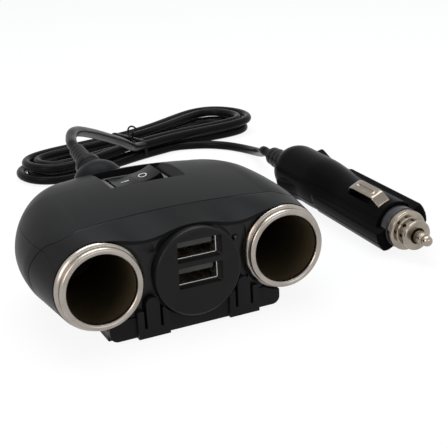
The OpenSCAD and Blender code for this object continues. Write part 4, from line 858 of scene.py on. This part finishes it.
def turned_on_bundle(x, y, degrees):
    """X and Y of points given from the bundle's centre, turned by the angle."""
    a = np.radians(degrees)
    c, s = np.cos(a), np.sin(a)
    return [BUNDLE_CENTRE[0] + x * c - y * s, BUNDLE_CENTRE[1] + x * s + y * c]


def bundle_points(s):
    """The place on the bundle after s loops: a waisted oval whose half width goes from the waist's to
    the end's with the square of the cosine, drawn in by a pitch a loop and back out, in two layers."""
    t = np.radians(-90 + 360 * s)

    def base(t):
        half_end = np.where(np.cos(t) > 0, RIGHT_END, LEFT_END) / 2
        half_width = BUNDLE_WAIST + (half_end - BUNDLE_WAIST) * np.cos(t) ** 2
        return np.stack([BUNDLE_HALF * np.cos(t), half_width * np.sin(t)], -1)

    d = base(t + 0.0017) - base(t - 0.0017)
    outward = unit(np.stack([d[:, 1], -d[:, 0]], -1))
    q = base(t) - PITCH * np.minimum(s, LOOPS - s)[:, None] * outward
    mid = LOOPS / 2
    angle = BUNDLE_TURN + 1 - 2 * smooth_step(s, mid, mid + 0.2)
    z = LOWER_Z + LAYER_RISE * (1 - smooth_step(s, mid - 0.15, mid + 0.15))
    return np.stack([*turned_on_bundle(q[:, 0], q[:, 1], angle), z], -1)


def heading(degrees):
    """The level direction at an angle from X."""
    return np.array([np.cos(np.radians(degrees)), np.sin(np.radians(degrees)), 0])


def cord_routes():
    """The centrelines of the lead, and of the bundle and tail as one."""
    first, last = bundle_points(np.array([0.0, float(LOOPS)]))
    start_dir, end_dir = heading(BUNDLE_TURN + 1), heading(BUNDLE_TURN - 1)
    start, end = first - STRAIGHT * start_dir, last + STRAIGHT * end_dir
    relief_end = RELIEF_START + RELIEF_LEN * RELIEF_DIR
    lead = through([relief_end, relief_end + STRAIGHT * RELIEF_DIR, *LEAD_POINTS,
                    start - STRAIGHT * start_dir, start], 8)
    loops = bundle_points(np.linspace(0, LOOPS, LOOPS * 160 + 1))
    tail_end, beyond = in_plug(np.array([[0.0, RELIEF_END_Y, 0.0], [0.0, RELIEF_END_Y + 1, 0.0]]))
    back = beyond - tail_end
    tail = through([end, end + STRAIGHT * end_dir, *TAIL_POINTS, tail_end + 2 * STRAIGHT * back,
                    tail_end + STRAIGHT * back, tail_end], 8)
    share = np.linspace(0, 1, 4)[:, None]
    bundle = [start + (first - start) * share[:-1], loops, last + (end - last) * share[1:], tail[1:]]
    return lead, np.concatenate(bundle)


def build_cords():
    """The lead, and the bundle and tail as one: circles carried along their centrelines."""
    lead_path, run_path = cord_routes()
    lead = grid_piece("lead_cord", swept(lead_path, circle(CORD_R, 20)), finish("cord"))
    run = grid_piece("bundled_cord", swept(run_path, circle(CORD_R, 16)), finish("cord"))
    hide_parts("cord_lead")
    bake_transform(lead)
    mount(run, "bracket", "cord_black", "cord_bundle", "cord_tail")


def build_tie():
    """A twisted tie: a thin band round the waist of the bundle whose two ends make a loop on top."""

    def place(across, along, up):
        """Points given across and along the bundle, and by their height."""
        return np.stack([*turned_on_bundle(along, across, BUNDLE_TURN), up], -1)

    loop = rounded([[-14.6, 0.35], [12.3, 0.35], [12.3, 9.5], [-14.6, 9.5]], 3.4, 12)
    normal = loop - drawn_in(loop, 1.0)
    t = np.linspace(0, TURN, 14, endpoint=False)[:, None]
    ring = loop + normal * (0.25 * np.sin(t) - 0.1)[..., None]
    along = TIE_AT + 0.85 * np.cos(t) + 0 * ring[..., 0]
    place_grid("tie_band", place(ring[..., 0], along, ring[..., 1] + 0.3), "relief", "bracket", "tie_black",
               "bundle_tie", close_rows=True)
    s = np.linspace(0, 1, 60)
    turn = np.radians(-200 + 340 * s)
    path = place(-4 + 2.6 * np.cos(turn) * (1 + 0.2 * s), TIE_AT + 2.4 * (s - 0.5), 12.4 + 2.6 * np.sin(turn))
    place_grid("tie_loop", swept(path, circle(0.42, 12), (0.3, 0.95, 0.0)), "relief", "bracket", "tie_black",
               "bundle_tie")


def build_relief():
    """The sleeve where the lead leaves the housing: a collar, then five rings that taper a little."""
    profile = [[0, -1.0], [4.4, -1.0], [4.5, 0.0], [4.5, 1.6], [4.2, 1.95], [3.3, 2.05]]
    for y in 2.5 + 2.2 * np.arange(5):
        r = 3.25 - 0.043 * y
        profile += [[r, y], [r - 0.05, y + 1.6], [r - 0.16, y + 1.7], [r - 0.16, y + 2.1]]
    profile += [[2.7, RELIEF_LEN - 0.4], [2.5, RELIEF_LEN], [1.9, RELIEF_LEN], [0, RELIEF_LEN]]
    rings = turned(rounded(profile, 0.16, 4, closed=False), 72) @ turn_about("X", RELIEF_TILT).T
    place_grid("lead_relief", rings + RELIEF_START, "relief", "housing", "relief_black", "strain_relief",
               caps=False)
    dress("zinc", "housing_screws")
    dress("wire", "inner_wires")


def build_bracket(edge):
    """The bracket keeps its solid's shape with softer edges."""
    mount(softened_copy("mounting_bracket", "bracket_frame", "bracket", edge), "bracket", "bracket_black",
          "mounting_bracket")
    dress("foam", "adhesive_pad")


# Plug


def smooth_max(a, b, width):
    """The larger of two, with the corner between them rounded: max + width/4 (1 - |a-b|/width)^2."""
    h = np.maximum(0, 1 - np.abs(a - b) / width)
    return np.maximum(a, b) + width / 4 * h * h


HOLLOW_START_Y, NECK_R, CAVITY_R, CAVITY_END_Y = 3.0, 7.35, 3.8, 46.0
WING_R, WING_END_Y = 10.45, 52.0
TOOTH_Y = (62.2, 75.7)


def body_radius(angle, y):
    """Radius of the plug's body: a barrel that swells back to the grip and rounds off behind, a flat
    wing on each side, a tooth on each side of the grip and a fine parting line. Ahead of BODY_Y only
    the wings count."""
    round_off = np.clip((y - GRIP_END_Y + 9) / 9, 0, 1)
    barrel = 8.4 + 1.9 * smooth_step(y, 34, 59) - 5.6 * (1 - np.sqrt(np.maximum(0, 1 - round_off ** 2)))
    barrel = barrel - 0.4 * smooth_step(-y, -BODY_Y - 0.5, -BODY_Y)
    barrel = np.where(y < BODY_Y - 0.005, 6.4, barrel)
    flank = 3.9 / np.maximum(np.abs(np.sin(angle)), 1e-3)
    edge = WING_R * np.interp(y, [EAR_Y, EAR_Y + 0.3, EAR_Y + 0.9, 48.6, 51, WING_END_Y],
                              [0.9, 0.95, 1.0, 1.0, 0.9, 0.8])
    wing = np.where(y < WING_END_Y, -smooth_max(-edge, -flank, 0.7), 0)
    peak = np.interp(y, [TOOTH_Y[0], 66, 73.2, 74.0, 74.7, TOOTH_Y[1]],
                     [10.2, 10.85, 12.35, 12.45, 12.2, 10.0])
    tooth = np.where((y > TOOTH_Y[0]) & (y < TOOTH_Y[1]), -smooth_max(-peak, -flank, 0.7), 0)
    radius = smooth_max(barrel, np.maximum(wing, tooth), 0.35)
    return radius - 0.22 * np.exp(-(radius * np.sin(angle) / 0.16) ** 2)


def build_plug():
    """The body, hollowed for the neck and the fuse, with a window for each strip and a screw hole."""
    stretches = [(EAR_Y, 4.4, 10), (4.4, BODY_Y - 0.01, 8), (BODY_Y, BODY_Y + 0.8, 8), (8.1, 48, 60),
                 (48, 53, 26), (53, 72.8, 50), (72.8, 76.4, 24)]
    end = GRIP_END_Y - 9.3 * (1 - np.sin(np.linspace(0, np.pi / 2, 24)))
    y = np.unique(np.concatenate([*[np.linspace(*stretch) for stretch in stretches], end]))
    base = np.linspace(0, TURN, 400, endpoint=False)
    a, y = np.meshgrid(base - 0.42 * np.sin(2 * base) / 2, y)
    r = body_radius(a, y)
    body = grid_piece("plug_body", in_plug(np.stack([r * np.cos(a), y, r * np.sin(a)], -1)), finish("grip"))
    window = rounded_rectangle(3.1, 10.6, 1.6) + [0, 20.2]
    hole = circle(2.5, 40) + [-6.2, 57]
    neck_hole = turned([[NECK_R, HOLLOW_START_Y], [NECK_R, BODY_Y]])
    cavity = turned([[CAVITY_R, HOLLOW_START_Y], [CAVITY_R, CAVITY_END_Y]], 48)
    for tool in (neck_hole, cavity, layers(2, (window, 3.9), (window, 14.0)),
                 layers(2, (window, -3.9), (window, -14.0)), layers(2, (hole, -2.5), (hole, -14.0))):
        carve(body, in_plug(tool))
    shade(body.data, 30)
    mount(body, "bracket", "plug_black", "plug_shell_upper", "plug_shell_lower")
    dress("zinc", "plug_screw")
    dress("wire", "plug_wires")
    neck = rounded([[3.5, 3.05], [6.95, 3.05], [7.25, 3.35], [7.25, 6.9], [7.1, 7.25], [3.5, 7.25]], 0.15, 4)
    place_grid("neck_barrel", in_plug(turned(neck, 120)), "neck", "bracket", "neck_gloss", "plug_neck",
               close_rows=True)
    build_nose()
    build_strips()
    build_plug_relief()


def build_nose():
    """The plated nose: a bright flange with a slotted groove and a collar ahead of it, a dulled band
    behind it, and a stepped pin."""
    front = rounded([[2.85, -5.2], [4.95, -5.2], [5.3, -4.85], [5.3, -3.75], [5.0, -3.5], [4.7, -3.2],
                     [4.7, -0.35], [5.0, -0.02], [6.6, 0.0], [7.1, 0.45], [7.1, 0.8], [6.9, 0.95],
                     [2.85, 0.95]],
                    [0.1, 0.3, 0.3, 0.2, 0.2, 0.3, 0.3, 0.2, 0.4, 0.2, 0.1, 0.1, 0.1], 6)
    cap = grid_piece("nose_ring", in_plug(turned(front, 160)), finish("nose_nickel"), close_rows=True)
    hole = circle(0.7, 24)
    for a in np.arange(8) * TURN / 8 + 0.35:
        out, along = np.array([np.cos(a), 0, np.sin(a)]), np.array([-np.sin(a), 0, np.cos(a)])
        slot = hole[:, :1] * along + hole[:, 1:] * [0, 1.3, 0] - [0, 1.9, 0]
        carve(cap, in_plug(np.stack([slot + 3.7 * out, slot + 5.6 * out])))
    shade(cap.data, 32)
    mount(cap, "nose_cap", "nose_nickel", "nose_cap")
    rear = rounded([[2.85, 0.9], [6.6, 0.9], [6.98, 1.1], [6.98, 2.8], [6.8, 3.0], [2.85, 3.0]], 0.12, 4)
    place_grid("nose_band", in_plug(turned(rear, 120)), "dull_nickel", "nose_cap", "nose_nickel", "nose_cap",
               close_rows=True)
    dress("insulator", "nose_bush")
    a = np.linspace(0, np.radians(125), 18)
    tip = np.stack([1.9 * np.sin(a), -10.4 - 1.9 * np.cos(a)], -1)
    shaft = rounded([tip[-1], [1.7, -9.3], [2.3, -9.0], [2.35, -4.2], [1.9, -4.0], [1.9, 4.6], [3.1, 5.2],
                     [3.1, 6.9], [0, 6.9]], 0.2, 4, closed=False)
    place_grid("nose_pin", in_plug(turned(np.concatenate([tip, shaft[1:]]), 72)), "nose_nickel",
               "pin_and_fuse", "nose_nickel", "centre_pin", caps=False)
    dress("glass", "fuse_tube")
    dress("steel", "fuse_caps", "fuse_spring")


STRIP_HALF, STRIP_RISE, STRIP_GAUGE = 2.5, 5.2, 0.3
STRIP_SHAPE = np.array([[9.9, 0], [10.4, 0.45], [12.9, 0.96], [14.4, 1], [25.4, 1], [28.8, 0.84],
                        [30.1, 0.4], [30.5, 0]])


def build_strips():
    """Contact strips: a steep front, a flat top with a long groove and a dimple, and a gentler rear."""
    for sign, press, word in ((1, 0.0, "upper"), (-1, 2.7, "lower")):
        line = rounded(STRIP_SHAPE * [1, STRIP_RISE - press] + [0, 6.3],
                       [0.1, 0.4, 0.7, 1.0, 2.4, 1.4, 0.6, 0.1], 12, closed=False)
        gone = np.concatenate([[0], np.cumsum(np.linalg.norm(np.diff(line, axis=0), axis=1))])
        even = np.linspace(0, gone[-1], 170)
        y, z = np.interp(even, gone, line[:, 0]), np.interp(even, gone, line[:, 1])
        run = unit(np.stack([np.gradient(y), np.gradient(z)], -1))
        along, x = np.meshgrid(y, np.linspace(-STRIP_HALF, STRIP_HALF, 41), indexing="ij")
        groove = np.exp(-(x / 0.5) ** 6) * smooth_step(along, 15.4, 16.2) * smooth_step(-along, -25.6, -24.8)
        dimple = np.exp(-((x / 0.75) ** 2 + ((along - 14.7) / 0.7) ** 2))
        relief = -0.5 * groove - 0.35 * dimple - 0.2 * (np.abs(x) / STRIP_HALF) ** 8
        outer, inner = [np.stack([x, y[:, None] - run[:, 1:] * h, z[:, None] + run[:, :1] * h], -1)
                        for h in (relief, relief - STRIP_GAUGE)]
        loop = np.concatenate([outer, inner[:, ::-1]], 1) * [1, 1, sign]
        place_grid(f"{word}_strip_spring", in_plug(loop), "strip", f"{word}_strip", "strip_steel",
                   f"plug_contact_{word}")


def build_plug_relief():
    """The plug's sleeve: four rings, each a little narrower than the one before."""
    profile = [[0, GRIP_END_Y - 0.5], [4.9, GRIP_END_Y - 0.5], [4.9, GRIP_END_Y + 0.3]]
    for k in range(4):
        r = 4.75 - 0.3 * k
        y = GRIP_END_Y + 0.7 + 3.65 * k
        profile += [[r, y], [r, y + 2.7], [r - 0.7, y + 2.85], [r - 0.7, y + 3.45]]
    profile += [[2.35, RELIEF_END_Y - 0.2], [2.0, RELIEF_END_Y], [0, RELIEF_END_Y]]
    rings = in_plug(turned(rounded(profile, 0.22, 4, closed=False), 72))
    place_grid("plug_sleeve", rings, "relief", "bracket", "relief_black", "plug_relief", caps=False)


# Camera, floor and light


CAMERA_PLACE = (-0.105895, -0.271598, 0.130274)
CAMERA_BACK = (-0.39391, -0.85410, 0.33965)
CAMERA_ROLL = -2.892
FOCAL_PX = 993.287
PICTURE = 448
SENSOR = 36
FLOOR_HALF = 1.4
FLOOR_Z = -0.02 * MM


def place_object(name, data, back, level, roll, place):
    """An object that looks along -back. Its right lies square to the level direction, then it is
    rolled about its line of sight."""
    back = unit(np.asarray(back, float))
    right = unit(np.cross(level, back))
    up = np.cross(back, right)
    c, s = np.cos(np.radians(roll)), np.sin(np.radians(roll))
    pose = np.eye(4)
    pose[:3, :3] = np.stack([right * c + up * s, up * c - right * s, back], 1)
    pose[:3, 3] = place
    made = new_object(name, data)
    made.matrix_world = Matrix(pose.tolist())
    return made


def build_camera():
    """The camera, whose focal length is known in pixels of the picture."""
    data = bpy.data.cameras.new("camera")
    data.sensor_width = SENSOR
    data.lens = SENSOR * FOCAL_PX / PICTURE
    data.clip_start, data.clip_end = 0.02, 20
    camera = place_object("camera", data, CAMERA_BACK, [0, 0, 1], CAMERA_ROLL, CAMERA_PLACE)
    bpy.context.scene.camera = camera


def area_light(name, place, target, size, power, tint):
    """A lamp of a size in metres and a power in watts, turned to its target."""
    data = bpy.data.lights.new(name, "AREA")
    data.shape = "RECTANGLE"
    data.size, data.size_y = size
    data.energy = power
    data.color = tint
    place_object(name, data, np.subtract(place, target), [0.02, 0, 1], 0, place)


def shows_ground(tree):
    """1 for rays from the camera and for mirrored or transmitted ones, else 0."""
    rays = add_node(tree, "LightPath").outputs
    mirrored = math_node(tree, "MAXIMUM", rays["Is Glossy Ray"], rays["Is Transmission Ray"])
    return math_node(tree, "MAXIMUM", rays["Is Camera Ray"], mirrored)


def end_tree(tree, output, share, first, second):
    """Ends a tree in the mix of two shaders."""
    mix = add_node(tree, "MixShader", {0: share, 1: first.outputs[0], 2: second.outputs[0]})
    add_node(tree, output, {"Surface": mix.outputs[0]})


def build_world():
    """White for the camera and for mirrors; what lights the object is weaker."""
    world = bpy.data.worlds.new("white room")
    bpy.context.scene.world = world
    world.use_nodes = True
    tree = world.node_tree
    tree.nodes.clear()
    room = add_node(tree, "Background", {"Color": (0.9, 0.95, 1, 1), "Strength": 0.42})
    white = add_node(tree, "Background", {"Color": (1, 1, 1, 1)})
    end_tree(tree, "OutputWorld", shows_ground(tree), room, white)


def build_floor():
    """A floor that keeps the object's shadow and is otherwise as white as the picture's ground."""
    material = bpy.data.materials.new("floor white")
    material.use_nodes = True
    tree = material.node_tree
    tree.nodes.clear()
    diffuse = add_node(tree, "BsdfDiffuse", {"Color": (0.92, 0.92, 0.92, 1)})
    glow = add_node(tree, "Emission", {"Strength": 1.0})
    share = math_node(tree, "MULTIPLY", shows_ground(tree), 0.9)
    end_tree(tree, "OutputMaterial", share, diffuse, glow)
    corners = np.array([[-1, -1], [1, -1], [1, 1], [-1, 1]]) * FLOOR_HALF
    mesh = bpy.data.meshes.new("floor")
    mesh.from_pydata(np.insert(corners, 2, FLOOR_Z, axis=1).tolist(), [], [[0, 1, 2, 3]])
    mesh.materials.append(material)
    new_object("floor", mesh)


def build_stage():
    """The camera, the floor, the white ground and three soft lamps."""
    bpy.context.scene.view_settings.view_transform = "Standard"
    build_camera()
    build_world()
    build_floor()
    middle = (0.01, 0.03, 0.01)
    area_light("overhead", (0.05, 0.2, 0.75), middle, (0.7, 0.5), 5.5, (0.96, 0.99, 1))
    area_light("left", (-0.75, -0.25, 0.4), middle, (0.4, 0.5), 2.7, (1, 0.88, 0.82))
    area_light("front", (0.15, -0.85, 0.42), middle, (0.7, 0.3), 1.1, (1, 0.98, 0.96))


# Add-on


COLOUR = {"subtype": "COLOR", "min": 0, "max": 1}


class SPLITTER_PG_sizes(bpy.types.PropertyGroup):
    """Sizes that a user may change."""

    edge: FloatProperty(name="Edge radius", description="Rounding of the plastic edges, in millimetres",
                        default=0.18, min=0.02, max=0.5)
    throw: FloatProperty(name="Rocker throw",
                         description="Angle between the rocker's two positions, in degrees",
                         default=20.0, min=10.0, max=24.0)


class SPLITTER_PG_colours(bpy.types.PropertyGroup):
    """Colours that a user may change."""

    shell: FloatVectorProperty(name="Shell", description="Colour of the housing",
                               default=(0.0085, 0.0087, 0.0092), **COLOUR)
    panel: FloatVectorProperty(name="Panel", description="Colour of the front panel",
                               default=(0.0055, 0.0055, 0.0056), **COLOUR)
    cord: FloatVectorProperty(name="Cord", description="Colour of the lead",
                              default=(0.0035, 0.0035, 0.0036), **COLOUR)
    nickel: FloatVectorProperty(name="Nickel", description="Colour of the bright plating",
                                default=(0.38, 0.35, 0.315), **COLOUR)
    strip: FloatVectorProperty(name="Strips", description="Colour of the plug's contact strips",
                               default=(0.2, 0.172, 0.145), **COLOUR)
    haze: FloatVectorProperty(name="Haze", description="Colour of the plating where it has dulled",
                              default=(0.27, 0.24, 0.205), **COLOUR)


class SPLITTER_OT_stage(bpy.types.Operator):
    """Makes the camera, the lights, the floor and the white ground"""

    bl_idname = "splitter.stage"
    bl_label = "Camera and Stage"

    def execute(self, context):
        build_stage()
        return {"FINISHED"}


class SPLITTER_OT_cords(bpy.types.Operator):
    """Makes the lead, the bundled cord with its tail, and the tie round it"""

    bl_idname = "splitter.cords"
    bl_label = "Cords and Tie"

    def execute(self, context):
        build_cords()
        build_tie()
        return {"FINISHED"}


class SPLITTER_OT_housing(bpy.types.Operator):
    """Makes the hood and the tray of the housing, and the lead's sleeve"""

    bl_idname = "splitter.housing"
    bl_label = "Housing"

    def execute(self, context):
        build_housing()
        build_relief()
        return {"FINISHED"}


class SPLITTER_OT_front(bpy.types.Operator):
    """Makes the front panel, the port disc, the ports and the pilot light"""

    bl_idname = "splitter.front"
    bl_label = "Front and Ports"

    def execute(self, context):
        build_front(context.scene.splitter_sizes.edge)
        build_ports()
        return {"FINISHED"}


class SPLITTER_OT_sockets(bpy.types.Operator):
    """Makes the rims and bores of the two sockets"""

    bl_idname = "splitter.sockets"
    bl_label = "Sockets"

    def execute(self, context):
        build_sockets()
        return {"FINISHED"}


class SPLITTER_OT_switch(bpy.types.Operator):
    """Makes the switch: its frame, its rocker and the marks on it"""

    bl_idname = "splitter.switch"
    bl_label = "Switch"

    def execute(self, context):
        build_switch(context.scene.splitter_sizes.throw)
        return {"FINISHED"}


class SPLITTER_OT_bracket(bpy.types.Operator):
    """Makes the bracket under the housing and its pad"""

    bl_idname = "splitter.bracket"
    bl_label = "Bracket"

    def execute(self, context):
        build_bracket(context.scene.splitter_sizes.edge)
        return {"FINISHED"}


class SPLITTER_OT_plug(bpy.types.Operator):
    """Makes the plug: its body, strips, neck, nose and sleeve"""

    bl_idname = "splitter.plug"
    bl_label = "Plug"

    def execute(self, context):
        build_plug()
        return {"FINISHED"}


class SPLITTER_PT_panel(bpy.types.Panel):
    """Sizes and colours, with a button for each group of pieces"""

    bl_label = "Power Socket Splitter"
    bl_space_type = "VIEW_3D"
    bl_region_type = "UI"
    bl_category = "Splitter"

    def draw(self, context):
        sizes = self.layout.box()
        for name in ("edge", "throw"):
            sizes.prop(context.scene.splitter_sizes, name)
        colours = self.layout.box()
        for name in ("shell", "panel", "cord", "nickel", "strip", "haze"):
            colours.prop(context.scene.splitter_colours, name)
        for kind in STEPS:
            self.layout.operator(kind.bl_idname)


STEPS = (SPLITTER_OT_stage, SPLITTER_OT_cords, SPLITTER_OT_housing, SPLITTER_OT_front,
         SPLITTER_OT_sockets, SPLITTER_OT_switch, SPLITTER_OT_bracket, SPLITTER_OT_plug)
CLASSES = (SPLITTER_PG_sizes, SPLITTER_PG_colours, *STEPS, SPLITTER_PT_panel)


def register():
    for kind in CLASSES:
        bpy.utils.register_class(kind)
    bpy.types.Scene.splitter_sizes = PointerProperty(type=SPLITTER_PG_sizes)
    bpy.types.Scene.splitter_colours = PointerProperty(type=SPLITTER_PG_colours)


def unregister():
    del bpy.types.Scene.splitter_colours
    del bpy.types.Scene.splitter_sizes
    for kind in reversed(CLASSES):
        bpy.utils.unregister_class(kind)


def main():
    register()
    for name in ("stage", "cords", "housing", "front", "sockets", "switch", "bracket", "plug"):
        getattr(bpy.ops.splitter, name)()


if __name__ == "__main__":
    main()
